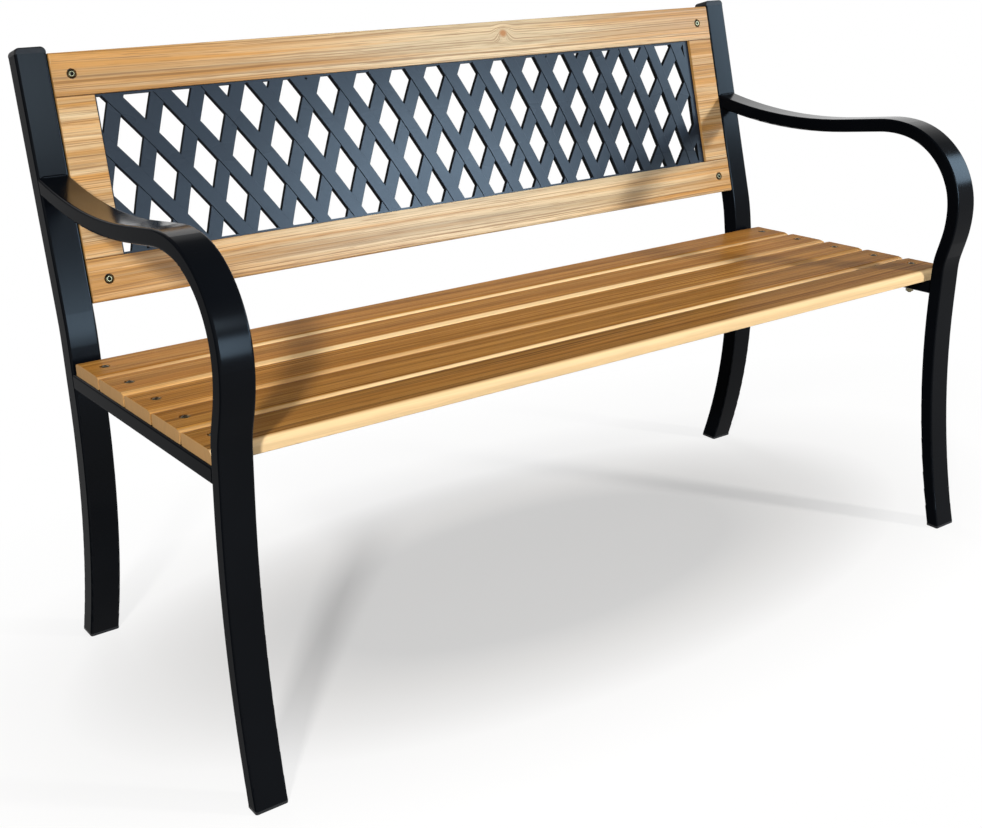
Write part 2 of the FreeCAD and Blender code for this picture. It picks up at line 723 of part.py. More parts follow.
def make_back_rail(name, placement):
    """Back rail with its groove upwards; the top rail is the same piece turned over."""
    body = new_body(name)
    section = add_sketch(body, "YZ_Plane")
    draw_box(section, 0, "sizes.rail_thickness", 0, "sizes.rail_height")
    add_pad(body, section, f"2 * {rail_half}", "Symmetric")
    round_edges(body, "sizes.rail_round", lambda edge: runs_along(edge, "X") and edge.BoundBox.ZMax < TINY)
    round_edges(body, "sizes.stile_round",
                lambda edge: runs_along(edge, "X") and edge.BoundBox.ZMin > size("rail_height") - TINY)
    upper_side = raised(size("rail_height"))
    groove = add_sketch(body, "XY_Plane", upper_side)
    groove_end = f"({tongue_reach} + sizes.tongue_fit)"
    draw_box(groove, f"-{groove_end}", groove_end, groove_front, groove_rear)
    add_pocket(body, groove, groove_depth)
    dowel_holes = add_sketch(body, "XY_Plane", upper_side)
    bolt_holes = add_sketch(body, "XZ_Plane")
    recesses = add_sketch(body, "XZ_Plane")
    for sign in SIDES.values():
        for offset in dowel_offsets(sign):
            draw_circle(dowel_holes, f"{sign} * {stile_middle} + {offset}", dowel_rear, dowel_hole)
        draw_circle(bolt_holes, f"{sign} * {back_bolt_across}", "sizes.rail_height / 2", BOLT_HOLE)
        draw_circle(recesses, f"{sign} * {back_bolt_across}", "sizes.rail_height / 2", BOLT_RECESS)
    add_pocket(body, dowel_holes, dowel_hole_depth)
    cut_through(body, bolt_holes)
    add_pocket(body, recesses, "sizes.bolt_recess_depth")
    keep(body, name, placement)


make_back_rail("back_lower_rail", back_place())
make_back_rail("back_top_rail", back_place(up=back_height, turn=HALF_TURN))


# Stiles: upright boards between the rails, grooved on the side of the panel and dowelled at both ends

stile_foot = size("rail_height") + size("joint_gap")
for side, sign in SIDES.items():
    stile = new_body(f"{side}_stile")
    section = add_sketch(stile, "XY_Plane")
    draw_box(section, "-sizes.stile_width / 2", "sizes.stile_width / 2", 0, "sizes.rail_thickness")
    add_pad(stile, section, "sizes.stile_length")
    round_edges(stile, "sizes.stile_round", lambda edge: runs_along(edge, "Z"))
    panel_side = raised(-sign * size("stile_width") / 2)
    groove = add_sketch(stile, "YZ_Plane", panel_side)
    draw_box(groove, groove_front, groove_rear, 0, "sizes.stile_length")
    add_pocket(stile, groove, groove_depth, backwards=sign > 0)
    lower_holes = add_sketch(stile, "XY_Plane")
    upper_holes = add_sketch(stile, "XY_Plane", raised(size("stile_length")))
    for offset in dowel_offsets(sign):
        draw_circle(lower_holes, offset, dowel_rear, dowel_hole)
        draw_circle(upper_holes, offset, dowel_rear, dowel_hole)
    add_pocket(stile, lower_holes, dowel_hole_depth, backwards=True)
    add_pocket(stile, upper_holes, dowel_hole_depth)
    keep(stile, f"{side}_stile", back_place(sign * value(stile_middle), 0, stile_foot))


# Lattice panel: one moulding, its strips a diamond lattice bent on a wide arc, its rim held in the grooves

opening_half = value(tongue_reach) - size("tongue_depth") - size("panel_rim")
opening_low = size("rail_height") + size("panel_rim")
opening_high = back_height - opening_low
lattice_radius = size("lattice_radius")
half_pitch = size("lattice_pitch") / 2
row_rise = size("lattice_row_rise")
strip_share = size("strip_width") / 2 * math.hypot(1 / half_pitch, 1 / row_rise)
front_of_panel = size("panel_setback")
AWAY = Vector(0, 1, 0)


def lattice_point(falling, rising):
    """Panel point from its two lattice coordinates: strips lie at even values, openings at odd ones."""
    across = (falling + rising) / 2 * half_pitch
    up = size("lattice_row_level") + (falling - rising) / 2 * row_rise
    turn = across / lattice_radius
    radius = lattice_radius + up
    return Vector(radius * math.sin(turn), 0, back_height / 2 - lattice_radius + radius * math.cos(turn))


def flat_face(points):
    return Part.Face(Part.makePolygon(points + points[:1]))


def panel_box(half_wide, low, high):
    """Upright rectangle in the panel's front plane."""
    return flat_face([Vector(-half_wide, 0, low), Vector(half_wide, 0, low),
                      Vector(half_wide, 0, high), Vector(-half_wide, 0, high)])


def lattice_openings(window):
    """Diamonds between the strips, clipped to the window inside the rim."""
    reach = 1 - strip_share
    columns = int(opening_half / half_pitch) + 2
    rows = int(back_height / row_rise)
    for column in range(-columns, columns + 1):
        for row in range(-rows, rows + 1):
            if (column + row) % 2 == 0:
                continue
            falling = column + row
            rising = column - row
            corners = [(falling - reach, rising - reach), (falling + reach, rising - reach),
                       (falling + reach, rising + reach), (falling - reach, rising + reach)]
            opening = flat_face([lattice_point(*corner) for corner in corners]).common(window)
            yield from (face for face in opening.Faces if face.Area > LEAST_OPENING_AREA)


def lattice_ridges(window):
    """Raised middles of the strips that fall from left to right."""
    half = strip_share * (1 - 2 * size("ridge_inset") / size("strip_width"))
    columns = int(opening_half / half_pitch) + 2
    rows = int(back_height / row_rise)
    reach = columns + rows
    for strip in range(-reach - reach % 2, reach + 1, 2):
        stations = [station for station in range(-2 * reach, 2 * reach + 1)
                    if abs(strip - station) <= 2 * rows]
        edge = [lattice_point(strip - half, station) for station in stations]
        edge += [lattice_point(strip + half, station) for station in reversed(stations)]
        yield from flat_face(edge).common(window).Faces


window = panel_box(opening_half, opening_low, opening_high)
rim_low = size("rail_height") - size("tongue_depth")
blank = panel_box(value(tongue_reach), rim_low, back_height - rim_low)
sheet_face = blank.cut(list(lattice_openings(window)))
moulding = sheet_face.extrude(AWAY * size("panel_thickness"))
moulding.translate(AWAY * front_of_panel)
ridge_rise = size("ridge_height") + size("panel_thickness") / 2
ridges = [face.extrude(AWAY * ridge_rise) for face in lattice_ridges(window)]
for ridge in ridges:
    ridge.translate(AWAY * (front_of_panel - size("ridge_height")))
panel = doc.addObject("Part::Feature", "lattice_panel")
panel.Shape = moulding.fuse(ridges).Solids[0]
keep(panel, "lattice_panel", back_place())


# Tabs: steel plates welded to the inside of the uprights, behind the ends of the back rails

tab_levels = {"lower": size("rail_height") / 2, "top": back_height - size("rail_height") / 2}
for side, sign in SIDES.items():
    for level, up in tab_levels.items():
        name = f"{side}_{level}_tab"
        tab = new_body(name)
        plate = add_sketch(tab, "XZ_Plane")
        weld_end = f"{sign} * (sizes.bench_width / 2 - sizes.tube_width - sizes.weld_gap)"
        free_end = f"{weld_end} - {sign} * sizes.tab_length"
        draw_box(plate, free_end, weld_end, "-sizes.tab_height / 2", "sizes.tab_height / 2")
        draw_circle(plate, f"{sign} * {back_bolt_across}", 0, BOLT_HOLE)
        add_pad(tab, plate, "sizes.tab_thickness", backwards=True)
        keep(tab, name, back_place(rear=size("rail_thickness"), up=up))


# Dowels between the stiles and the rails

dowel = doc.addObject("Part::Cylinder", "dowel")
dowel.setExpression("Radius", "sizes.dowel_diameter / 2")
dowel.setExpression("Height", "sizes.dowel_length")
lower_dowel = size("rail_height") + size("joint_gap") / 2 - size("dowel_length") / 2
upper_dowel = back_height - lower_dowel - size("dowel_length")
add_group("stile_dowels", dowel, [
    back_place(sign * value(stile_middle) + value(offset), value(dowel_rear), up)
    for sign in SIDES.values() for offset in dowel_offsets(sign) for up in (lower_dowel, upper_dowel)])


# Fasteners: each bolt stands on the underside of its head, with its shank downwards

def make_bolt(name, grip):
    """Button-head bolt with a hexagon socket."""
    body = new_body(name)
    half = add_sketch(body, "XZ_Plane")
    tail = f"-({grip} + sizes.washer_thickness + sizes.nut_height + sizes.bolt_tail)"
    draw_polygon(half, [(0, tail), ("sizes.bolt_diameter / 2", tail), ("sizes.bolt_diameter / 2", 0),
                        ("sizes.bolt_head / 2", 0), ("sizes.bolt_head / 2", "sizes.bolt_head_height"),
                        (0, "sizes.bolt_head_height")])
    turned = body.newObject("PartDesign::Revolution", name + "_turned")
    turned.Profile = half
    turned.ReferenceAxis = (half, ["V_Axis"])
    round_edges(body, f"min(sizes.bolt_head_round; sizes.bolt_head_height - {LEAST_CORNER})",
                lambda edge: edge.BoundBox.ZMin > size("bolt_head_height") - TINY)
    socket = add_sketch(body, "XY_Plane", raised(size("bolt_head_height")))
    draw_hexagon(socket, "sizes.socket_flats")
    add_pocket(body, socket, "sizes.socket_depth")
    return body


nut = new_body("nut")
hexagon = add_sketch(nut, "XY_Plane")
draw_hexagon(hexagon, "sizes.nut_flats")
draw_circle(hexagon, 0, 0, "sizes.bolt_diameter + 2 * sizes.nut_play")
add_pad(nut, hexagon, "sizes.nut_height", backwards=True)

washer = new_body("washer")
ring = add_sketch(washer, "XY_Plane")
draw_circle(ring, 0, 0, "sizes.washer_diameter")
draw_circle(ring, 0, 0, BOLT_HOLE)
add_pad(washer, ring, "sizes.washer_thickness", backwards=True)

head_level = size("slat_thickness") - size("bolt_recess_depth")
seat_spots = [(sign * value(seat_bolt_across), row) for sign in SIDES.values() for row in bolt_rows]
seat_bolt = make_bolt("seat_bolt", "sizes.slat_thickness - sizes.bolt_recess_depth + sizes.seat_rail_height")
under_rail = -size("seat_rail_height")
under_washer = under_rail - size("washer_thickness")
add_group("seat_bolts", seat_bolt, [seat_place(*spot, head_level) for spot in seat_spots])
add_group("seat_washers", washer, [seat_place(*spot, under_rail) for spot in seat_spots])
add_group("seat_nuts", nut, [seat_place(*spot, under_washer) for spot in seat_spots])

back_spots = [(sign * value(back_bolt_across), up) for sign in SIDES.values() for up in tab_levels.values()]
back_bolt = make_bolt("back_bolt", "sizes.rail_thickness - sizes.bolt_recess_depth + sizes.tab_thickness")
behind_tab = size("rail_thickness") + size("tab_thickness")
behind_washer = behind_tab + size("washer_thickness")
for name, single, rear in (("back_bolts", back_bolt, size("bolt_recess_depth")),
                           ("back_washers", washer, behind_tab), ("back_nuts", nut, behind_washer)):
    add_group(name, single, [back_place(across, rear, up, TOWARDS_FRONT) for across, up in back_spots])

screw = new_body("strap_screw")
half = add_sketch(screw, "XZ_Plane")
screw_tip = "sizes.strap_thickness + sizes.screw_grip"
draw_polygon(half, [(0, "-sizes.screw_head_height"), ("sizes.screw_head / 2", "-sizes.screw_head_height"),
                    ("sizes.screw_head / 2", 0), ("sizes.screw_diameter / 2", 0),
                    ("sizes.screw_diameter / 2", f"{screw_tip} - sizes.screw_diameter"), (0, screw_tip)])
turned = screw.newObject("PartDesign::Revolution", "screw_turned")
turned.Profile = half
turned.ReferenceAxis = (half, ["V_Axis"])
add_group("strap_screws", screw, [seat_place(0, middle, -size("strap_thickness")) for middle in slat_middles])


# Middle of the bench over the origin, then checks and files

doc.recompute()
whole = Part.makeCompound([node.Shape for node in nodes]).optimalBoundingBox(False)
for node in nodes:
    node.Placement.move(Vector(0, -whole.Center.y, 0))
doc.recompute()

for item in doc.Objects:
    if "Invalid" in item.State or "Error" in item.State:
        raise RuntimeError(f"{item.Label} failed: {item.State}")
    if item.TypeId == "PartDesign::Pocket" and item.Shape.Volume >= item.BaseFeature.Shape.Volume:
        raise RuntimeError(f"{item.Label} cuts nothing")
for node in nodes:
    if node.Shape.isNull() or not node.Shape.isValid():
        raise RuntimeError(f"{node.Label} has no valid shape")

os.makedirs("parts", exist_ok=True)
for node in nodes:
    node.Shape.exportStep(f"parts/{node.Label}.step")
print(f"{len(nodes)} nodes, {whole.XLength:.1f} x {whole.YLength:.1f} x {whole.ZLength:.1f} mm")
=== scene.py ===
import math

import bpy
from mathutils import Matrix, Vector


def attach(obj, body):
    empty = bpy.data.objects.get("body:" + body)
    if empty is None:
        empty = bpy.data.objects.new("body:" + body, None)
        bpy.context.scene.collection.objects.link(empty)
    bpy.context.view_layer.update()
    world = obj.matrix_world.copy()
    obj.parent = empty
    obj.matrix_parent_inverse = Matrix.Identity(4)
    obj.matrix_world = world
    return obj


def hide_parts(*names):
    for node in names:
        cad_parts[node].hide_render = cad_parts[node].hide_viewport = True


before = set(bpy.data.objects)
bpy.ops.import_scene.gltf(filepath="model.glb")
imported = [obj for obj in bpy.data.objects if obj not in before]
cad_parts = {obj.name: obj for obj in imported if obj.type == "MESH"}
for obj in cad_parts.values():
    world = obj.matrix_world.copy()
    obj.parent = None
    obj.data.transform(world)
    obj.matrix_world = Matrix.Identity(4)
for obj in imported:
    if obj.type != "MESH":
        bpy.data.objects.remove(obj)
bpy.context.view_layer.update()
scene = bpy.context.scene
scene.view_settings.view_transform = "Standard"


# Side frames -----------------------------------------------------------------------------------------
# Each side is a bent rear upright, a bent arm with its front leg, a short seat rail and two flat tabs
# for the back, all steel, welded together and sprayed with satin black powder coat. A flat steel strap
# of the same finish ties the seat slats together at mid-span.

STEEL_PIECES = ["rear_upright", "arm_front_leg", "seat_rail", "lower_tab", "top_tab"]
COAT_LUMPS, COAT_SPECKS, ORANGE_PEEL = 7, 90, 620
COAT_COLOURS = [(0.3, (0.0018, 0.0024, 0.0036, 1)), (0.7, (0.0030, 0.0039, 0.0057, 1))]
COAT_ROUGHNESS = [(0.3, 0.34), (0.7, 0.44)]
COAT_SHINE = [(0.30, 0.12), (0.52, 0.20), (0.70, 0.95)]
SIDE_FACE_SHINE = [(0.55, 1.0), (0.85, 0.16)]


def feed(tree, node, feeds):
    """Feeds a node's sockets, each from a value, another socket or a list of sockets."""
    for name, source in feeds.items():
        if isinstance(source, bpy.types.NodeSocket):
            tree.links.new(source, node.inputs[name])
        elif isinstance(source, list):
            for each in source:
                tree.links.new(each, node.inputs[name])
        else:
            node.inputs[name].default_value = source


def add_node(tree, kind, feeds=None, **settings):
    """Adds a node, sets its options and feeds its sockets."""
    node = tree.nodes.new(kind)
    for name, setting in settings.items():
        setattr(node, name, setting)
    feed(tree, node, feeds or {})
    return node


def make(tree, kind, feeds=None, **settings):
    """Adds a node and gives its first output."""
    return add_node(tree, kind, feeds, **settings).outputs[0]


def calc(tree, operation, first, second=0.0, third=0.0):
    """One sum on numbers or fields."""
    return make(tree, "ShaderNodeMath", {0: first, 1: second, 2: third}, operation=operation)


def split(tree, vector):
    """The X, Y and Z of a vector."""
    return add_node(tree, "ShaderNodeSeparateXYZ", {"Vector": vector}).outputs


def surface_normal(tree):
    """The way the surface faces."""
    return add_node(tree, "ShaderNodeNewGeometry").outputs["Normal"]


def new_finish(name):
    """A material with one shader. Gives the material, its tree, the shader and the Object coordinates."""
    material = bpy.data.materials.new(name)
    material.use_nodes = True
    tree = material.node_tree
    place = add_node(tree, "ShaderNodeTexCoord").outputs["Object"]
    return material, tree, tree.nodes["Principled BSDF"], place


def cloud(tree, place, lumps, shift=(0, 0, 0), detail=2.0):
    """Soft noise with so many lumps to the metre, along every axis alike or along each."""
    stretch = lumps if isinstance(lumps, tuple) else (lumps, lumps, lumps)
    moved = make(tree, "ShaderNodeMapping", {"Vector": place, "Location": shift, "Scale": stretch})
    return add_node(tree, "ShaderNodeTexNoise",
                    {"Vector": moved, "Scale": 1.0, "Detail": detail}).outputs["Fac"]


def blend_stops(tree, factor, stops):
    """Colours at places from 0 to 1 along a factor. A plain number counts as a grey."""
    ramp = add_node(tree, "ShaderNodeValToRGB", {"Fac": factor})
    marks = ramp.color_ramp.elements
    while len(marks) < len(stops):
        marks.new(1.0)
    for mark, (at, colour) in zip(marks, stops):
        mark.position = at
        mark.color = colour if isinstance(colour, tuple) else (colour, colour, colour, 1)
    return ramp.outputs["Color"]


def raise_surface(tree, shader, height, strength, distance):
    """Bump from a height field."""
    bump = make(tree, "ShaderNodeBump", {"Height": height, "Strength": strength, "Distance": distance})
    tree.links.new(bump, shader.inputs["Normal"])


def powder_coat():
    """Sprayed and baked powder: near black, satin, with the faint orange peel of such coats."""
    material, tree, shader, place = new_finish("satin_black_powder_coat")
    slant = add_node(tree, "ShaderNodeLayerWeight", {"Blend": 0.5}).outputs["Facing"]
    sideways = calc(tree, "ABSOLUTE", split(tree, surface_normal(tree))["X"])
    feed(tree, shader, {
        "Base Color": blend_stops(tree, cloud(tree, place, COAT_LUMPS, detail=3), COAT_COLOURS),
        "Roughness": blend_stops(tree, cloud(tree, place, COAT_SPECKS, detail=3), COAT_ROUGHNESS),
        "Specular IOR Level": 0.0,
        "Coat Weight": calc(tree, "MULTIPLY", blend_stops(tree, slant, COAT_SHINE),
                            blend_stops(tree, sideways, SIDE_FACE_SHINE)),
        "Coat Roughness": 0.18})
    raise_surface(tree, shader, cloud(tree, place, ORANGE_PEEL, detail=1), strength=0.10, distance=0.0002)
    return material


def give_finish(node, material):
    """Puts a finish on every material slot of a CAD node."""
    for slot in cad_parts[node].material_slots:
        slot.material = material


steel_finish = powder_coat()
for side in ("left", "right"):
    for steel_piece in STEEL_PIECES:
        give_finish(f"{side}_{steel_piece}", steel_finish)
give_finish("seat_strap", steel_finish)


# Weld beads ------------------------------------------------------------------------------------------
# Short fillet welds run across the tubes where the arm and the seat rail meet the legs, and up both
# edges of each tab. They are laid as a row of overlapping ripples, then coated with the frame.

BEAD_SIZES = {"Bead Radius": 0.0021, "Ripple Pitch": 0.0028, "Ripple": 0.10}
BEAD_SIDES = 10
STEPS_PER_RIPPLE = 4
END_TAPER, THINNEST_END = 9.0, 0.12
TUBE_INNER, TUBE_OUTER = 0.5735, 0.6065
CROSS_WELDS = [(0.2174, 0.6243), (0.2116, 0.6031), (0.1640, 0.3838), (0.1640, 0.3642),
               (-0.2325, 0.3892), (-0.2317, 0.3697)]
TAB_WELDS = [((0.2000, 0.4745), (0.2065, 0.5005)), ((0.2040, 0.4737), (0.2105, 0.4997)),
             ((0.2638, 0.7266), (0.2703, 0.7526)), ((0.2678, 0.7257), (0.2743, 0.7517))]
TAB_FOOT = 0.5697


def start_tree(name, numbers, others):
    """A Geometry Nodes tree with an input for each plain number, and the others by their kind."""
    tree = bpy.data.node_groups.new(name, "GeometryNodeTree")
    kinds = {"Geometry": "Geometry", **dict.fromkeys(numbers, "Float"), **others}
    for size, kind in kinds.items():
        tree.interface.new_socket(size, in_out="INPUT", socket_type=f"NodeSocket{kind}")
    tree.interface.new_socket("Geometry", in_out="OUTPUT", socket_type="NodeSocketGeometry")
    return tree, tree.nodes.new("NodeGroupInput").outputs


def end_tree(tree, shape, finish, sharp_angle, keep=False):
    """Realizes the shape, shades it smooth but for its sharp edges, and gives it its finish.

    keep marks the faces that have a finish of their own already."""
    solid = make(tree, "GeometryNodeRealizeInstances", {"Geometry": shape})
    soft = make(tree, "GeometryNodeSetShadeSmooth", {"Geometry": solid, "Shade Smooth": True})
    angle = add_node(tree, "GeometryNodeInputMeshEdgeAngle").outputs["Unsigned Angle"]
    sharp = calc(tree, "GREATER_THAN", angle, sharp_angle)
    shaded = make(tree, "GeometryNodeSetShadeSmooth",
                  {"Geometry": soft, "Selection": sharp, "Shade Smooth": False}, domain="EDGE")
    bare = make(tree, "FunctionNodeBooleanMath", {0: keep}, operation="NOT")
    done = make(tree, "GeometryNodeSetMaterial", {"Geometry": shaded, "Selection": bare, "Material": finish})
    tree.links.new(done, tree.nodes.new("NodeGroupOutput").inputs[0])


def grow(name, tree, base, sizes):
    """Runs a tree on a base mesh with its sizes, and gives the result as a plain mesh object."""
    seed = bpy.data.objects.new(f"{name}_seed", base)
    scene.collection.objects.link(seed)
    modifier = seed.modifiers.new("grow", "NODES")
    modifier.node_group = tree
    for item in tree.interface.items_tree:
        if item.in_out == "INPUT" and item.name in sizes:
            modifier[item.identifier] = sizes[item.name]
    grown = seed.evaluated_get(bpy.context.evaluated_depsgraph_get())
    mesh = bpy.data.meshes.new_from_object(grown)
    mesh.name = name
    seed.modifiers.remove(modifier)
    bpy.data.objects.remove(seed)
    piece = bpy.data.objects.new(name, mesh)
    scene.collection.objects.link(piece)
    return piece


def weld_tree():
    """A rippled bead along each run of edges, thinning at its ends."""
    tree, given = start_tree("weld_bead", BEAD_SIZES, {"Finish": "Material"})
    pitch = given["Ripple Pitch"]
    runs = make(tree, "GeometryNodeMeshToCurve", {"Mesh": given["Geometry"]})
    step = calc(tree, "DIVIDE", pitch, STEPS_PER_RIPPLE)
    fine = make(tree, "GeometryNodeResampleCurve", {"Curve": runs, "Length": step}, mode="LENGTH")
    along = add_node(tree, "GeometryNodeSplineParameter").outputs
    turn = calc(tree, "MULTIPLY", calc(tree, "DIVIDE", along["Length"], pitch), math.tau)
    swell = calc(tree, "ADD", 1.0, calc(tree, "MULTIPLY", calc(tree, "SINE", turn), given["Ripple"]))
    from_middle = calc(tree, "ABSOLUTE", calc(tree, "MULTIPLY_ADD", along["Factor"], 2.0, -1.0))
    taper = calc(tree, "SUBTRACT", 1.0, calc(tree, "POWER", from_middle, END_TAPER))
    thickness = calc(tree, "MULTIPLY", swell, calc(tree, "MAXIMUM", taper, THINNEST_END))
    bar = make(tree, "GeometryNodeCurvePrimitiveCircle",
               {"Resolution": BEAD_SIDES, "Radius": given["Bead Radius"]})
    bead = make(tree, "GeometryNodeCurveToMesh",
                {"Curve": fine, "Profile Curve": bar, "Scale": thickness, "Fill Caps": True})
    end_tree(tree, bead, given["Finish"], sharp_angle=1.0)
    return tree


weld_lines = []
for hand in (-1, 1):
    for back, level in CROSS_WELDS:
        weld_lines.append([(hand * TUBE_INNER, back, level), (hand * TUBE_OUTER, back, level)])
    for low_end, high_end in TAB_WELDS:
        weld_lines.append([(hand * TAB_FOOT, *low_end), (hand * TAB_FOOT, *high_end)])
weld_paths = bpy.data.meshes.new("weld_paths")
weld_paths.from_pydata([point for line in weld_lines for point in line],
                       [(2 * count, 2 * count + 1) for count in range(len(weld_lines))], [])
welds = grow("weld_beads", weld_tree(), weld_paths, {**BEAD_SIZES, "Finish": steel_finish})
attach(welds, "root")


# Plugs -----------------------------------------------------------------------------------------------
# The open tube ends are closed by black moulded plastic: a foot pushed into the bottom of each leg and
# a cap pushed into the top of each upright. Their skin is duller than the paint and finely spark-eroded.

PLUG_TEXTURE, PLUG_SCUFFS = 1500, (60, 60, 240)
PLUG_COLOURS = [(0.45, (0.011, 0.011, 0.012, 1)), (0.75, (0.024, 0.024, 0.026, 1))]
PLUG_ROUGHNESS = [(0.3, 0.52), (0.8, 0.66)]


def plug_plastic():
    """Moulded black polyethylene with a fine matt texture and lighter scuffs."""
    material, tree, shader, place = new_finish("matt_black_plug_plastic")
    scuff = cloud(tree, place, PLUG_SCUFFS, detail=4)
    feed(tree, shader, {"Base Color": blend_stops(tree, scuff, PLUG_COLOURS),
                        "Roughness": blend_stops(tree, scuff, PLUG_ROUGHNESS),
                        "Specular IOR Level": 0.2})
    raise_surface(tree, shader, cloud(tree, place, PLUG_TEXTURE), strength=0.25, distance=0.0001)
    return material


plug_finish = plug_plastic()
for side in ("left", "right"):
    for plug in ("front_foot", "rear_foot", "upright_cap"):
        give_finish(f"{side}_{plug}", plug_finish)


# Seat slats ------------------------------------------------------------------------------------------
# Five varnished boards lie across the two seat rails, their long edges planed off at a slant and the front
# one with a full nose. Each comes from another part of the log, so its rings, tone and streaks are its own.
# The lists go from the rear slat to the front one.

SLAT_COLOURS = [(0.492, 0.238, 0.053), (0.171, 0.064, 0.013), (0.364, 0.153, 0.028)]
SLAT_END = (0.560, 0.330, 0.135, 1)
SLAT_TONES = [1.14, 1.16, 1.10, 1.02, 0.84]
SLAT_HEARTS = [(0.31, 0.34), (-0.12, 0.36), (0.13, 0.33), (-0.29, 0.35), (-0.02, 0.34)]
SLAT_SHIFT = (1.7, 0.9, 2.3)
SLAT_FRONTS = [0.0807, 0.0027, -0.0753, -0.1532, -0.2312]
# Front edges are paler, partly the bare wood of the slant and partly a painted highlight. The third slat's
# darker edge colour, and the fall of the spreads towards the board ends on the rear slats, are painted shade.
EDGE_PALE_AND_HIGHLIGHT_COLOURS = [(0.900, 0.660, 0.360, 1), (0.900, 0.660, 0.360, 1), (0.660, 0.410, 0.185, 1),
                (0.880, 0.640, 0.350, 1), (0.890, 0.650, 0.360, 1)]
EDGE_WIDTHS = [0.0040, 0.0080, 0.0055, 0.0040, 0.0300]
EDGE_TURNS = 4 * [(0.10, 0.22)] + [(0.16, 0.66)]
EDGE_SHADED_SPREADS = 4 * [[(0.04, 0.25), (0.22, 1.0), (0.74, 1.0), (0.87, 0.35)]] + [[(0.0, 1.0), (1.0, 1.0)]]
SEAT_REAR = Vector((0, 0.16390, 0.38400))
SEAT_SLOPE = math.radians(0.8)
SEAT_BOLT_ROWS = [-0.0462, -0.1242, -0.2022, -0.2802, -0.3512]
SEAT_BOLT_SIDE = 0.584
SEAT_HEAD_LEVEL = 0.0144

# Grain as lumps to the metre of board, lumps to the metre of depth in the log, and detail
SHADE_GRAIN, STREAK_GRAIN, LINE_GRAIN, FIBRE_GRAIN = (0.7, 48, 2), (0.9, 120, 3), (1.6, 560, 2), (9, 1900, 2)
PORE_LUMPS = (17, 1300, 1300)
SWAY_LUMPS, SWAY_DEPTH = (0.9, 6, 6), 0.030
WOBBLE_LUMPS, WOBBLE_DEPTH = (7, 70, 70), 0.0025
KNOT_REACH, KNOT_CORE, KNOT_SWELL, KNOT_WOBBLE = 5.0, 2.2, 0.022, 0.7
KNOT_TINT = (0.75, 0.58, 0.45)
KNOT_SHARE = [(0.15, 0.0), (0.55, 0.85)]
SPAN_PER_METRE = 0.82
FADE_MIDDLE, STREAK_SHARE = 0.25, 0.8
TONE_BLEND = [(0.36, 0.0), (0.64, 1.0)]
SHADE_TONES, FIBRE_TONES = [(0.30, 0.74), (0.62, 1.08)], [(0.30, 0.78), (0.70, 1.14)]
PORE_SHARE, PORE_DEPTH = [(0.60, 0.0), (0.67, 0.60)], 0.8
EDGE_WAVER, EDGE_DEPTH = 0.2, [(0.40, 0.92), (0.62, 0.0)]
EDGE_TONES = [(0.30, 0.92), (0.70, 1.04)]
WOOD_ROUGHNESS = [(0.30, 0.48), (0.70, 0.36)]
# Painted shade: the bolt recesses and a thin ring round their rim are darkened.
RECESS_SHADE_EDGE = [(0.62, 0.85), (0.68, 0.0)]
RECESS_SHADE_COLOUR = (0.020, 0.011, 0.006, 1)


def vector_calc(tree, operation, first, second=(0, 0, 0), output="Vector"):
    """One sum on vectors."""
    return add_node(tree, "ShaderNodeVectorMath", {0: first, 1: second}, operation=operation).outputs[output]


def join(tree, x=0.0, y=0.0, z=0.0):
    """A vector from its X, Y and Z."""
    return make(tree, "ShaderNodeCombineXYZ", {"X": x, "Y": y, "Z": z})


def mix_colours(tree, factor, first, second, way="MIX"):
    """Two colours mixed by a factor. The node's colour sockets share their names, so go by number."""
    mix = add_node(tree, "ShaderNodeMix", {0: factor, 6: first, 7: second},
                   data_type="RGBA", blend_type=way, clamp_factor=True)
    return mix.outputs[2]


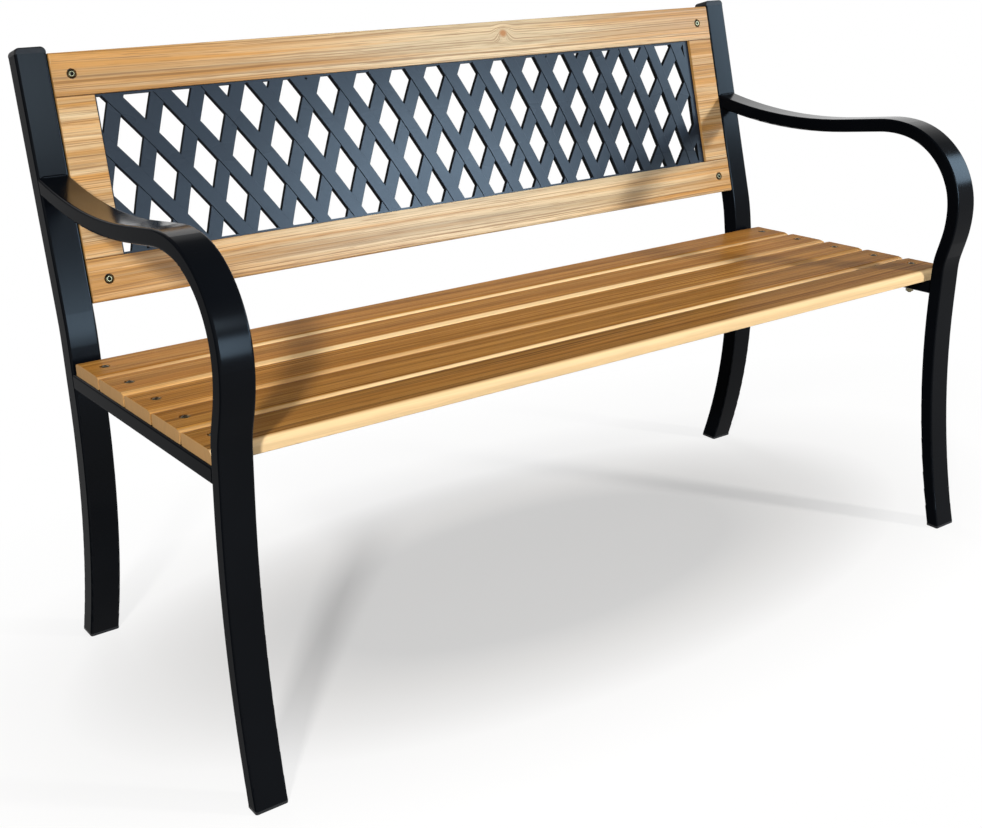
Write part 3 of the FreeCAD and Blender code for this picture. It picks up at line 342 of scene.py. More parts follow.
def varnished_wood(name, colours, heart, shift, gloss, blur, lines, edge=None, sawn=None, knot=None,
                   seams=(), fade=None, bores=()):
    """Varnished wood with its grain along X, laid in rings round a heart line beside the board.

    colours are those of pale wood, of the dark ring lines and of the tinted ground. gloss is how much of
    the varnish's shine is left, blur how soft it is, and lines how strong the ring lines are. edge is the
    (colour, front, width, turns, spread) of a paler front edge, partly the bare wood of the slant and partly a
    painted highlight, the turns being the slants between which it comes in and the spread its strength along
    the board, which on the rear slats falls as painted shade towards the ends. sawn is the colour of bare sawn
    ends. knot is its (place, length, height), and seams are dark lines as (up axis, level, half width,
    strength). fade gives how far the pale tone comes through along the board; on the rails its rise towards
    mid-board is partly a painted reflection in the varnish. bores are the bolt recesses as (place on the right
    half, axis), painted with shade inside and in a thin ring round their rim."""
    material, tree, shader, place = new_finish(name)
    pale, dark, tint = colours
    parts = split(tree, place)

    def length_of(vector):
        return vector_calc(tree, "LENGTH", vector, output="Value")

    def along_grain(grain, offset):
        board_lumps, depth_lumps, detail = grain
        flow = join(tree, calc(tree, "MULTIPLY", parts["X"], board_lumps),
                    calc(tree, "MULTIPLY", depth, depth_lumps), offset)
        return add_node(tree, "ShaderNodeTexNoise",
                        {"Vector": flow, "Scale": 1.0, "Detail": detail}).outputs["Fac"]

    # Depth in the log, swaying along the board and swelling round a knot
    across = vector_calc(tree, "MULTIPLY", vector_calc(tree, "SUBTRACT", place, (0, *heart)), (0, 1, 1))
    sway = cloud(tree, place, SWAY_LUMPS, shift)
    wobble = cloud(tree, place, WOBBLE_LUMPS, shift)
    depth = calc(tree, "MULTIPLY_ADD", sway, SWAY_DEPTH, length_of(across))
    depth = calc(tree, "MULTIPLY_ADD", wobble, WOBBLE_DEPTH, depth)
    if knot:
        knot_place, length, height = knot
        offset = vector_calc(tree, "MULTIPLY", vector_calc(tree, "SUBTRACT", place, knot_place),
                             (1 / length, 1 / height, 1 / height))
        away = calc(tree, "MULTIPLY_ADD", wobble, KNOT_WOBBLE, length_of(offset))
        near = calc(tree, "MAXIMUM", calc(tree, "MULTIPLY_ADD", away, -1 / KNOT_REACH, 1.0), 0.0)
        depth = calc(tree, "MULTIPLY_ADD", calc(tree, "POWER", near, 2.0), KNOT_SWELL, depth)

    # Tone, ring lines, shade, fibres and pores
    shade = along_grain(SHADE_GRAIN, shift[2] + 3.0)
    streak = along_grain(STREAK_GRAIN, shift[0])
    line = along_grain(LINE_GRAIN, shift[1])
    fibre = along_grain(FIBRE_GRAIN, shift[2])
    pore = cloud(tree, place, PORE_LUMPS, shift, detail=1)
    span = calc(tree, "MULTIPLY_ADD", parts["X"], SPAN_PER_METRE, 0.5)
    # The pale lift along the board; on the rails its peak at mid-board is partly a painted reflection in the
    # varnish.
    if fade:
        lift = calc(tree, "SUBTRACT", blend_stops(tree, span, fade), FADE_MIDDLE)
        streak = calc(tree, "MULTIPLY_ADD", streak, STREAK_SHARE, lift)
    ground = mix_colours(tree, blend_stops(tree, streak, TONE_BLEND), tint, pale)
    ring_line = blend_stops(tree, line, [(0.53, 0.0), (0.59, 0.5 * lines), (0.64, lines)])
    colour = mix_colours(tree, ring_line, ground, dark)
    for field, tones in ((shade, SHADE_TONES), (fibre, FIBRE_TONES)):
        colour = mix_colours(tree, 1.0, colour, blend_stops(tree, field, tones), "MULTIPLY")
    pitted = blend_stops(tree, pore, PORE_SHARE)
    colour = mix_colours(tree, pitted, colour, dark)

    # Knot and seams
    if knot:
        core = calc(tree, "MULTIPLY_ADD", away, -1 / KNOT_CORE, 1.0)
        knot_colour = (*(share * part for share, part in zip(KNOT_TINT, tint)), 1)
        colour = mix_colours(tree, blend_stops(tree, core, KNOT_SHARE), colour, knot_colour)
    for up_axis, level, half_width, strength in seams:
        rise = vector_calc(tree, "DOT_PRODUCT", place, up_axis, "Value")
        gap = calc(tree, "ABSOLUTE", calc(tree, "SUBTRACT", rise, level))
        reach = calc(tree, "DIVIDE", gap, calc(tree, "MULTIPLY", wobble, 4 * half_width))
        colour = mix_colours(tree, blend_stops(tree, reach, [(0.35, strength), (0.65, 0.0)]), colour, dark)

    # Paler front edge, partly bare wood and partly a painted highlight, dimmed by painted shade towards the
    # ends; sawn ends; painted shade in the bolt recesses
    facing = split(tree, surface_normal(tree))
    if edge:
        edge_colour, edge_front, edge_width, (turn_start, turn_end), spread = edge
        inward = calc(tree, "DIVIDE", calc(tree, "SUBTRACT", parts["Y"], edge_front), 2 * edge_width)
        inward = calc(tree, "MULTIPLY_ADD", calc(tree, "SUBTRACT", wobble, 0.5), EDGE_WAVER, inward)
        slanted = blend_stops(tree, calc(tree, "ABSOLUTE", facing["Y"]), [(turn_start, 0.0), (turn_end, 1.0)])
        planed_and_highlit = calc(tree, "MULTIPLY", slanted, blend_stops(tree, inward, EDGE_DEPTH))
        planed_and_highlit = calc(tree, "MULTIPLY", planed_and_highlit, blend_stops(tree, span, spread))
        bright = mix_colours(tree, 1.0, edge_colour, blend_stops(tree, fibre, EDGE_TONES), "MULTIPLY")
        colour = mix_colours(tree, planed_and_highlit, colour, bright)
    end_face = blend_stops(tree, calc(tree, "ABSOLUTE", facing["X"]),
                           [(0.55, 0.0), (0.90, 0.85 if sawn else 0.6)])
    colour = mix_colours(tree, end_face, colour, sawn or tint)
    half = join(tree, calc(tree, "ABSOLUTE", parts["X"]), parts["Y"], parts["Z"])
    # Painted shade in each bolt recess and in a thin ring round its rim.
    for bore_place, bore_axis in bores:
        swing = vector_calc(tree, "CROSS_PRODUCT", vector_calc(tree, "SUBTRACT", half, bore_place), bore_axis)
        centimetres = calc(tree, "MULTIPLY", length_of(swing), 100.0)
        colour = mix_colours(tree, blend_stops(tree, centimetres, RECESS_SHADE_EDGE), colour, RECESS_SHADE_COLOUR)

    feed(tree, shader, {"Base Color": colour, "Roughness": blend_stops(tree, fibre, WOOD_ROUGHNESS),
                        "Specular IOR Level": 0.015, "Coat Weight": gloss, "Coat Roughness": blur})
    relief = calc(tree, "MULTIPLY_ADD", pitted, -PORE_DEPTH, fibre)
    raise_surface(tree, shader, relief, strength=0.16, distance=0.0004)
    return material


seat_turn = Matrix.Rotation(-SEAT_SLOPE, 4, "X")
seat_up = seat_turn @ Vector((0, 0, 1))
slat_edges = zip(EDGE_PALE_AND_HIGHLIGHT_COLOURS, SLAT_FRONTS, EDGE_WIDTHS, EDGE_TURNS, EDGE_SHADED_SPREADS)
slat_rows = zip(SLAT_HEARTS, SEAT_BOLT_ROWS, slat_edges, SLAT_TONES)
for count, (slat_heart, bolt_row, slat_edge, tone) in enumerate(slat_rows, start=1):
    slat_colours = [(*(tone * part for part in colour), 1) for colour in SLAT_COLOURS]
    slat_shift = tuple(count * step for step in SLAT_SHIFT)
    slat_bore = SEAT_REAR + seat_turn @ Vector((SEAT_BOLT_SIDE, bolt_row, SEAT_HEAD_LEVEL))
    slat_finish = varnished_wood(f"varnished_slat_{count}", slat_colours, slat_heart, slat_shift,
                                 gloss=0.04, blur=0.15, lines=0.85, edge=slat_edge, sawn=SLAT_END,
                                 bores=[(slat_bore, seat_up)])
    give_finish(f"seat_slat_{count}", slat_finish)


# Seat bolts ------------------------------------------------------------------------------------------
# A zinc-plated button-head bolt holds each slat end to the rail. Its head lies in a shallow recess and
# has a hexagon socket; a washer and nut close it under the rail. Screws hold the strap to the slats.

BOLT_SIZES = {"Head Radius": 0.0055, "Head Height": 0.0030, "Socket Radius": 0.0027, "Socket Depth": 0.0020,
              "Shank Radius": 0.0029, "Thread Pitch": 0.0010, "Thread Depth": 0.0003}
SEAT_SHANK = 0.0428
HEAD_SIDES, HEAD_STEPS = 36, 12
DOME_CURVE, DOME_FALL = 2.4, 0.40
SHANK_SIDES, STEPS_PER_THREAD = 16, 4.0
SIXTH_TURN, TURN_SEED = (0.0, 0.0, 1.05), 7
ZINC_LUMPS, TURNING_MARKS = 170, 2200
ZINC_COLOURS = [(0.3, (0.110, 0.094, 0.052, 1)), (0.7, (0.200, 0.170, 0.098, 1))]
ZINC_ROUGHNESS = [(0.3, 0.36), (0.7, 0.24)]
# Painted shade inside the hexagon sockets.
SOCKET_SHADE_LUMPS = 900
SOCKET_SHADE_COLOURS = [(0.4, (0.010, 0.009, 0.008, 1)), (0.8, (0.035, 0.030, 0.024, 1))]


def zinc_plate():
    """Yellowish zinc plating with fine turning marks and a little dulling."""
    material, tree, shader, place = new_finish("zinc_plate")
    dull = cloud(tree, place, ZINC_LUMPS, detail=3)
    feed(tree, shader, {"Base Color": blend_stops(tree, dull, ZINC_COLOURS),
                        "Roughness": blend_stops(tree, dull, ZINC_ROUGHNESS), "Metallic": 1.0})
    raise_surface(tree, shader, cloud(tree, place, TURNING_MARKS, detail=1), strength=0.08, distance=0.00005)
    return material


def painted_socket_shade():
    """Painted shade for the inside of the hexagon sockets: near black and slightly uneven."""
    material, tree, shader, place = new_finish("painted_socket_shade")
    shade_lumps = cloud(tree, place, SOCKET_SHADE_LUMPS, detail=3)
    feed(tree, shader, {"Base Color": blend_stops(tree, shade_lumps, SOCKET_SHADE_COLOURS),
                        "Roughness": 0.8, "Specular IOR Level": 0.1})
    return material


def bolt_tree():
    """A button-head bolt on every point of the base, its head towards +Z before it is turned."""
    tree, given = start_tree("button_head_bolts", [*BOLT_SIZES, "Shank Length"],
                             {"Lean": "Rotation", "Socket Finish": "Material", "Finish": "Material"})
    # Domed head with its socket
    top = join(tree, z=given["Head Height"])
    axis = make(tree, "GeometryNodeCurvePrimitiveLine", {"End": top})
    stations = make(tree, "GeometryNodeResampleCurve", {"Curve": axis, "Count": HEAD_STEPS})
    along = add_node(tree, "GeometryNodeSplineParameter").outputs["Factor"]
    fall = calc(tree, "MULTIPLY", calc(tree, "POWER", along, DOME_CURVE), DOME_FALL)
    rim = make(tree, "GeometryNodeCurvePrimitiveCircle",
               {"Resolution": HEAD_SIDES, "Radius": given["Head Radius"]})
    head = make(tree, "GeometryNodeCurveToMesh",
                {"Curve": stations, "Profile Curve": rim, "Scale": calc(tree, "SUBTRACT", 1.0, fall),
                 "Fill Caps": True})
    key = make(tree, "GeometryNodeMeshCylinder",
               {"Vertices": 6, "Radius": given["Socket Radius"],
                "Depth": calc(tree, "MULTIPLY", given["Socket Depth"], 2.0)})
    # The socket's faces get the socket finish, which is painted shade.
    dark_key = make(tree, "GeometryNodeSetMaterial", {"Geometry": key, "Material": given["Socket Finish"]})
    raised = make(tree, "GeometryNodeTransform", {"Geometry": dark_key, "Translation": top})
    holed = make(tree, "GeometryNodeMeshBoolean", {"Mesh 1": head, "Mesh 2": raised},
                 operation="DIFFERENCE", solver="EXACT")
    # Shank, its thread cut as a helix
    rounds = calc(tree, "DIVIDE", given["Shank Length"], given["Thread Pitch"])
    shank = make(tree, "GeometryNodeMeshCylinder",
                 {"Vertices": SHANK_SIDES, "Side Segments": calc(tree, "MULTIPLY", rounds, STEPS_PER_THREAD),
                  "Radius": given["Shank Radius"], "Depth": given["Shank Length"]})
    spot = split(tree, make(tree, "GeometryNodeInputPosition"))
    heading = calc(tree, "DIVIDE", calc(tree, "ARCTAN2", spot["Y"], spot["X"]), math.tau)
    helix = calc(tree, "ADD", calc(tree, "DIVIDE", spot["Z"], given["Thread Pitch"]), heading)
    ridge = calc(tree, "PINGPONG", helix, 0.5)
    cut = calc(tree, "MULTIPLY", calc(tree, "MULTIPLY", ridge, -2.0), given["Thread Depth"])
    outward = vector_calc(tree, "NORMALIZE", join(tree, spot["X"], spot["Y"]))
    inset = make(tree, "ShaderNodeVectorMath", {0: outward, "Scale": cut}, operation="SCALE")
    threaded = make(tree, "GeometryNodeSetPosition", {"Geometry": shank, "Offset": inset})
    drop = join(tree, z=calc(tree, "MULTIPLY", given["Shank Length"], -0.5))
    hung = make(tree, "GeometryNodeTransform", {"Geometry": threaded, "Translation": drop})
    # One on each point, each screwed in to another angle
    bolt = make(tree, "GeometryNodeJoinGeometry", {"Geometry": [holed, hung]})
    placed = make(tree, "GeometryNodeInstanceOnPoints",
                  {"Points": given["Geometry"], "Instance": bolt, "Rotation": given["Lean"]})
    twist = make(tree, "FunctionNodeRandomValue",
                 {"Min": (0.0, 0.0, 0.0), "Max": SIXTH_TURN, "Seed": TURN_SEED}, data_type="FLOAT_VECTOR")
    turned = make(tree, "GeometryNodeRotateInstances",
                  {"Instances": placed, "Rotation": twist, "Local Space": True})
    in_socket = make(tree, "GeometryNodeMaterialSelection", {"Material": given["Socket Finish"]})
    end_tree(tree, turned, given["Finish"], sharp_angle=0.62, keep=in_socket)
    return tree


def point_cloud(name, points):
    """Loose points for a tree to work on."""
    mesh = bpy.data.meshes.new(name)
    mesh.from_pydata([tuple(point) for point in points], [], [])
    return mesh


zinc_finish = zinc_plate()
socket_shade_finish = painted_socket_shade()
bolt_maker = bolt_tree()
seat_bolt_points = [SEAT_REAR + seat_turn @ Vector((hand * SEAT_BOLT_SIDE, row, SEAT_HEAD_LEVEL))
                    for row in SEAT_BOLT_ROWS for hand in (-1, 1)]
seat_bolts = grow("seat_button_bolts", bolt_maker, point_cloud("seat_bolt_points", seat_bolt_points),
                  {**BOLT_SIZES, "Shank Length": SEAT_SHANK, "Lean": (-SEAT_SLOPE, 0, 0),
                   "Socket Finish": socket_shade_finish, "Finish": zinc_finish})
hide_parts("seat_bolts")
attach(seat_bolts, "root")
for fastener in ("seat_washers", "seat_nuts", "strap_screws"):
    give_finish(fastener, zinc_finish)


# Back rails and stiles -------------------------------------------------------------------------------
# Two boards and two short uprights between them frame the back, dowelled at the corners and grooved for
# the panel. They are a paler, honey-coloured wood; the grain of the stiles runs across like the rails'.

BACK_FOOT = Vector((0, 0.17720, 0.46600))
BACK_TILT = math.radians(14.2)
BACK_UP = (0, math.sin(BACK_TILT), math.cos(BACK_TILT))
BACK_COLOURS = [(0.695, 0.556, 0.350, 1), (0.250, 0.124, 0.040, 1), (0.555, 0.293, 0.088, 1)]
BACK_BOLT_SIDE = 0.5434
BACK_BOLT_LEVELS = [0.0275, 0.2875]
BACK_HEAD_DEPTH = 0.0026
RAIL_KNOT = ((0.1339, 0.2499, 0.7532), 0.0060, 0.0048)
TOP_SEAM, LOWER_SEAM, RAIL_SEAM_WIDTH = 0.2695, 0.0105, 0.0006
# Painted shade: a dark line along each stile end, where it meets a rail.
STILE_END_SHADE_LEVELS, STILE_END_SHADE_WIDTH = (0.0556, 0.2594), 0.0010
STILES = {"left_stile": ((0.23, 0.41), (7.4, 3.6, 0.4)), "right_stile": ((0.22, 0.83), (2.8, 6.1, 5.5))}

back_turn = Matrix.Rotation(-BACK_TILT, 4, "X")
back_inward = back_turn @ Vector((0, 1, 0))
low_bore, high_bore = [BACK_FOOT + back_turn @ Vector((BACK_BOLT_SIDE, BACK_HEAD_DEPTH, level))
                       for level in BACK_BOLT_LEVELS]
foot_level = BACK_FOOT.dot(Vector(BACK_UP))
# The rails' pale tone rises towards mid-board: partly the wood's own tone, partly a painted reflection in the
# varnish.
top_rail_finish = varnished_wood(
    "varnished_top_rail", BACK_COLOURS, (0.27, 0.90), (0.4, 2.6, 1.9), gloss=0.17, blur=0.28, lines=0.60,
    knot=RAIL_KNOT, seams=[(BACK_UP, foot_level + TOP_SEAM, RAIL_SEAM_WIDTH, 0.7)],
    fade=[(0.03, 0.22), (0.35, 0.38), (0.60, 0.58), (0.80, 0.37), (0.97, 0.24)],
    bores=[(high_bore, back_inward)])
lower_rail_finish = varnished_wood(
    "varnished_lower_rail", BACK_COLOURS, (0.17, 0.35), (4.4, 0.6, 3.2), gloss=0.08, blur=0.28, lines=0.60,
    seams=[(BACK_UP, foot_level + LOWER_SEAM, RAIL_SEAM_WIDTH, 0.7)],
    fade=[(0.03, 0.20), (0.30, 0.40), (0.60, 0.54), (0.75, 0.46), (0.97, 0.24)],
    bores=[(low_bore, back_inward)])
give_finish("back_top_rail", top_rail_finish)
give_finish("back_lower_rail", lower_rail_finish)
for stile, (stile_heart, stile_shift) in STILES.items():
    stile_finish = varnished_wood(
        f"varnished_{stile}", BACK_COLOURS, stile_heart, stile_shift, gloss=0.08, blur=0.28, lines=0.70,
        seams=[(BACK_UP, foot_level + level, STILE_END_SHADE_WIDTH, 1.0) for level in STILE_END_SHADE_LEVELS],
        fade=[(0.05, 0.30), (0.95, 0.28)])
    give_finish(stile, stile_finish)
give_finish("stile_dowels", lower_rail_finish)


# Joint shade films -------------------------------------------------------------------------------------
# A thin near-black film fills the half-millimetre between each stile end and its rail, a little below the
# faces of the wood: painted shade in the joints, which also closes the gaps.

STILE_MIDDLE, FILM_DEPTH, FILM_LEVELS = 0.5438, 0.0100, (0.05525, 0.25975)
JOINT_FILM_PLACES = [(hand * STILE_MIDDLE, FILM_DEPTH, level) for hand in (-1, 1) for level in FILM_LEVELS]
FILM_SIZE, FILM_WAVER = (0.0490, 0.0178, 0.00048), 0.0006
FILM_GRID = {"Vertices X": 40, "Vertices Y": 12, "Vertices Z": 2}
JOINT_SHADE_LUMPS, FILM_LUMPS = 300, 260.0
JOINT_SHADE_COLOURS = [(0.3, (0.012, 0.007, 0.004, 1)), (0.7, (0.030, 0.017, 0.009, 1))]


def joint_shade_film():
    """Painted shade for the joint gaps: very dark brown, slightly uneven."""
    material, tree, shader, place = new_finish("painted_joint_shade")
    lumps = cloud(tree, place, JOINT_SHADE_LUMPS, detail=3)
    feed(tree, shader, {"Base Color": blend_stops(tree, lumps, JOINT_SHADE_COLOURS),
                        "Roughness": 0.6, "Specular IOR Level": 0.15})
    raise_surface(tree, shader, lumps, strength=0.3, distance=0.0002)
    return material


def joint_film_tree():
    """A thin film with a wavering edge on every point of the base, leaned like the back."""
    tree, given = start_tree("joint_shade_films", ["Waver"], {"Film Size": "Vector", "Lean": "Rotation",
                                                       "Foot": "Vector", "Finish": "Material"})
    film = make(tree, "GeometryNodeMeshCube", {"Size": given["Film Size"], **FILM_GRID})
    placed = make(tree, "GeometryNodeInstanceOnPoints", {"Points": given["Geometry"], "Instance": film})
    solid = make(tree, "GeometryNodeRealizeInstances", {"Geometry": placed})
    ripple = add_node(tree, "ShaderNodeTexNoise", {"Scale": FILM_LUMPS, "Detail": 2.0}).outputs["Fac"]
    sink = join(tree, y=calc(tree, "MULTIPLY", ripple, given["Waver"]))
    uneven = make(tree, "GeometryNodeSetPosition", {"Geometry": solid, "Offset": sink})
    leaned = make(tree, "GeometryNodeTransform",
                  {"Geometry": uneven, "Translation": given["Foot"], "Rotation": given["Lean"]})
    end_tree(tree, leaned, given["Finish"], sharp_angle=0.5)
    return tree


joint_films = grow("stile_joint_shade_films", joint_film_tree(), point_cloud("joint_film_points", JOINT_FILM_PLACES),
            {"Film Size": FILM_SIZE, "Waver": FILM_WAVER, "Lean": (-BACK_TILT, 0, 0), "Foot": BACK_FOOT,
             "Finish": joint_shade_film()})
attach(joint_films, "root")


# Lattice panel ---------------------------------------------------------------------------------------
# The back is filled by one plastic moulding: two sets of flat strips cross in diamonds that fan out on a
# wide arc, the falling set with a raised middle, inside a rim that is wider at the right and sits in the
# grooves of the frame.

LATTICE_SIZES = {"Half Pitch": 0.02925, "Row Rise": 0.0555, "Row Level": 0.0285, "Arch Radius": 2.5,
                 "Back Height": 0.315, "Strip Width": 0.020, "Ridge Width": 0.0190, "Front": 0.005,
                 "Thickness": 0.007, "Ridge Height": 0.001, "Window Left": -0.5158,
                 "Window Right": 0.5078, "Window Low": 0.058, "Rim Width": 0.009}
STRIP_PAIRS, STATIONS, STRIP_RUN = 12, 27, 13.0
STRIP_EASE = 0.0005
CROSSING_STEP = 0.00005
WINDOW_OVERLAP, CUTTER_REACH = 0.001, 0.02
MOULDING_FLOW, MOULDING_SKIN = (3, 9, 9), 1100
FACE_COLOURS = [(0.3, (0.008, 0.012, 0.020, 1)), (0.7, (0.012, 0.018, 0.029, 1))]
FACE_ROUGHNESS = [(0.3, 0.25), (0.7, 0.31)]
FACE_TURN = [(0.70, 0.0), (0.97, 1.0)]
# The walls inside the openings are painted near black as shade; the faces keep the moulding's colour.
WALL_SHADE_COLOUR, WALL_ROUGHNESS = (0.0035, 0.0038, 0.0045, 1), (0.9, 0.9, 0.9, 1)


def moulded_plastic():
    """Blue-grey satin moulding: a fine grained face with soft flow marks; the walls inside the openings are
    painted near black as shade.
    """
    material, tree, shader, place = new_finish("blue_grey_moulded_plastic")
    flow = cloud(tree, place, MOULDING_FLOW, detail=3)
    forward = vector_calc(tree, "DOT_PRODUCT", surface_normal(tree), tuple(-back_inward), "Value")
    on_face = blend_stops(tree, forward, FACE_TURN)
    feed(tree, shader, {
        "Base Color": mix_colours(tree, on_face, WALL_SHADE_COLOUR, blend_stops(tree, flow, FACE_COLOURS)),
        "Roughness": mix_colours(tree, on_face, WALL_ROUGHNESS, blend_stops(tree, flow, FACE_ROUGHNESS)),
        "Specular IOR Level": 0.12,
        "Specular Tint": (1.0, 0.96, 0.92, 1)})
    raise_surface(tree, shader, cloud(tree, place, MOULDING_SKIN), strength=0.12, distance=0.0001)
    return material


def lattice_tree():
    """Strips along both families of lattice lines, clipped to the window, in a rim, leaned like the back."""
    tree, given = start_tree("lattice", LATTICE_SIZES,
                             {"Lean": "Rotation", "Foot": "Vector", "Finish": "Material"})

    def strips(direction, width, front, thick):
        """One family: the long lines of a grid, bent to the arch and swept with an eased section."""
        sheet = make(tree, "GeometryNodeMeshGrid", {"Size X": STRIP_RUN, "Size Y": 4.0 * STRIP_PAIRS,
                                                    "Vertices X": STATIONS, "Vertices Y": 2 * STRIP_PAIRS + 1})
        ends = add_node(tree, "GeometryNodeInputMeshEdgeVertices").outputs
        step = vector_calc(tree, "SUBTRACT", ends["Position 1"], ends["Position 2"])
        is_rung = calc(tree, "GREATER_THAN", calc(tree, "ABSOLUTE", split(tree, step)["Y"]), 0.5)
        lines = make(tree, "GeometryNodeDeleteGeometry", {"Geometry": sheet, "Selection": is_rung},
                     domain="EDGE", mode="EDGE_FACE")
        runs = make(tree, "GeometryNodeMeshToCurve", {"Mesh": lines})
        spot = split(tree, make(tree, "GeometryNodeInputPosition"))
        half_step = calc(tree, "MULTIPLY", calc(tree, "ADD", spot["X"], -direction), 0.5)
        across = calc(tree, "MULTIPLY", calc(tree, "ADD", spot["Y"], half_step), given["Half Pitch"])
        climb = calc(tree, "MULTIPLY", calc(tree, "MULTIPLY", half_step, direction), given["Row Rise"])
        turn = calc(tree, "DIVIDE", across, given["Arch Radius"])
        radius = calc(tree, "ADD", given["Arch Radius"], calc(tree, "ADD", given["Row Level"], climb))
        half_height = calc(tree, "MULTIPLY", given["Back Height"], 0.5)
        centre = calc(tree, "SUBTRACT", half_height, given["Arch Radius"])
        height = calc(tree, "ADD", centre, calc(tree, "MULTIPLY", radius, calc(tree, "COSINE", turn)))
        middle = calc(tree, "ADD", front, calc(tree, "MULTIPLY", thick, 0.5))
        bent = join(tree, calc(tree, "MULTIPLY", radius, calc(tree, "SINE", turn)), middle, height)
        curves = make(tree, "GeometryNodeSetPosition", {"Geometry": runs, "Position": bent})
        upright = make(tree, "GeometryNodeSetCurveNormal", {"Curve": curves}, mode="Z_UP")
        section = make(tree, "GeometryNodeCurvePrimitiveQuadrilateral", {"Width": thick, "Height": width})
        eased = make(tree, "GeometryNodeFilletCurve", {"Curve": section, "Count": 2, "Radius": STRIP_EASE},
                     mode="POLY")
        return make(tree, "GeometryNodeCurveToMesh",
                    {"Curve": upright, "Profile Curve": eased, "Fill Caps": True})

    def slab(left, right, low, front, thick):
        """A block that stands as far below the top of the back as above its foot."""
        tall = calc(tree, "SUBTRACT", given["Back Height"], calc(tree, "MULTIPLY", low, 2.0))
        size = join(tree, calc(tree, "SUBTRACT", right, left), thick, tall)
        middle = join(tree, calc(tree, "MULTIPLY", calc(tree, "ADD", left, right), 0.5),
                      calc(tree, "ADD", front, calc(tree, "MULTIPLY", thick, 0.5)),
                      calc(tree, "MULTIPLY", given["Back Height"], 0.5))
        block = make(tree, "GeometryNodeMeshCube", {"Size": size})
        return make(tree, "GeometryNodeTransform", {"Geometry": block, "Translation": middle})

    def cutter(left, right, low):
        """A block that reaches well out of the panel on both faces."""
        return slab(left, right, low, calc(tree, "SUBTRACT", given["Front"], CUTTER_REACH),
                    calc(tree, "ADD", given["Thickness"], 2 * CUTTER_REACH))

    # The rising strips lie a hair deeper than the falling ones, so that no two faces share a plane
    deeper = calc(tree, "ADD", given["Front"], CROSSING_STEP)
    thinner = calc(tree, "SUBTRACT", given["Thickness"], 2 * CROSSING_STEP)
    ridge_front = calc(tree, "SUBTRACT", given["Front"], given["Ridge Height"])
    half_thick = calc(tree, "MULTIPLY", given["Thickness"], 0.5)
    families = [strips(-1.0, given["Strip Width"], given["Front"], given["Thickness"]),
                strips(1.0, given["Strip Width"], deeper, thinner),
                strips(-1.0, given["Ridge Width"], ridge_front, half_thick)]
    weave = make(tree, "GeometryNodeJoinGeometry", {"Geometry": families})
    clip = cutter(calc(tree, "SUBTRACT", given["Window Left"], WINDOW_OVERLAP),
                  calc(tree, "ADD", given["Window Right"], WINDOW_OVERLAP),
                  calc(tree, "SUBTRACT", given["Window Low"], WINDOW_OVERLAP))
    clipped = make(tree, "GeometryNodeMeshBoolean", {"Mesh 2": [weave, clip], "Self Intersection": True},
                   operation="INTERSECT", solver="EXACT")
    outer = calc(tree, "SUBTRACT", given["Window Left"], given["Rim Width"])
    rim_low = calc(tree, "SUBTRACT", given["Window Low"], given["Rim Width"])
    blank = slab(outer, calc(tree, "MULTIPLY", outer, -1.0), rim_low, given["Front"], given["Thickness"])
    hole = cutter(given["Window Left"], given["Window Right"], given["Window Low"])
    rim = make(tree, "GeometryNodeMeshBoolean", {"Mesh 1": blank, "Mesh 2": hole},
               operation="DIFFERENCE", solver="EXACT")
    panel = make(tree, "GeometryNodeJoinGeometry", {"Geometry": [clipped, rim]})
    leaned = make(tree, "GeometryNodeTransform",
                  {"Geometry": panel, "Translation": given["Foot"], "Rotation": given["Lean"]})
    end_tree(tree, leaned, given["Finish"], sharp_angle=0.3)
    return tree


lattice = grow("lattice_moulding", lattice_tree(), point_cloud("lattice_seed", [(0, 0, 0)]),
               {**LATTICE_SIZES, "Lean": (-BACK_TILT, 0, 0), "Foot": BACK_FOOT, "Finish": moulded_plastic()})
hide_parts("lattice_panel")
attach(lattice, "root")


# Back bolts ------------------------------------------------------------------------------------------
# The same bolts pass through each end of the two rails from the front into the tabs on the uprights,
# where washers and nuts hold them.

BACK_SHANK = 0.0298

back_bolt_points = [BACK_FOOT + back_turn @ Vector((hand * BACK_BOLT_SIDE, BACK_HEAD_DEPTH, level))
                    for level in BACK_BOLT_LEVELS for hand in (-1, 1)]
back_bolts = grow("back_button_bolts", bolt_maker, point_cloud("back_bolt_points", back_bolt_points),
                  {**BOLT_SIZES, "Shank Length": BACK_SHANK, "Lean": (math.pi / 2 - BACK_TILT, 0, 0),
                   "Socket Finish": socket_shade_finish, "Finish": zinc_finish})
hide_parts("back_bolts")
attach(back_bolts, "root")
for fastener in ("back_washers", "back_nuts"):
    give_finish(fastener, zinc_finish)


# Floor, light and camera -----------------------------------------------------------------------------
# A plain floor, pale but for a painted soft shadow under the bench, where its glow is lower. Small lamps
# stand in front at the right and the left, a broad one overhead and one low behind, with faint even light
# all round; four cool windows show only in reflections. The camera stands at the photograph's place.

FLOOR_RADIUS, FLOOR_SIDES = 14.0, 96
FLOOR_SPREAD = (0.625, 1.316, 0)
FLOOR_COLOURS = [(0.22, (0.350, 0.357, 0.365, 1)), (0.30, 0.30), (0.45, 0.16), (0.60, 0.08), (0.90, 0.0)]
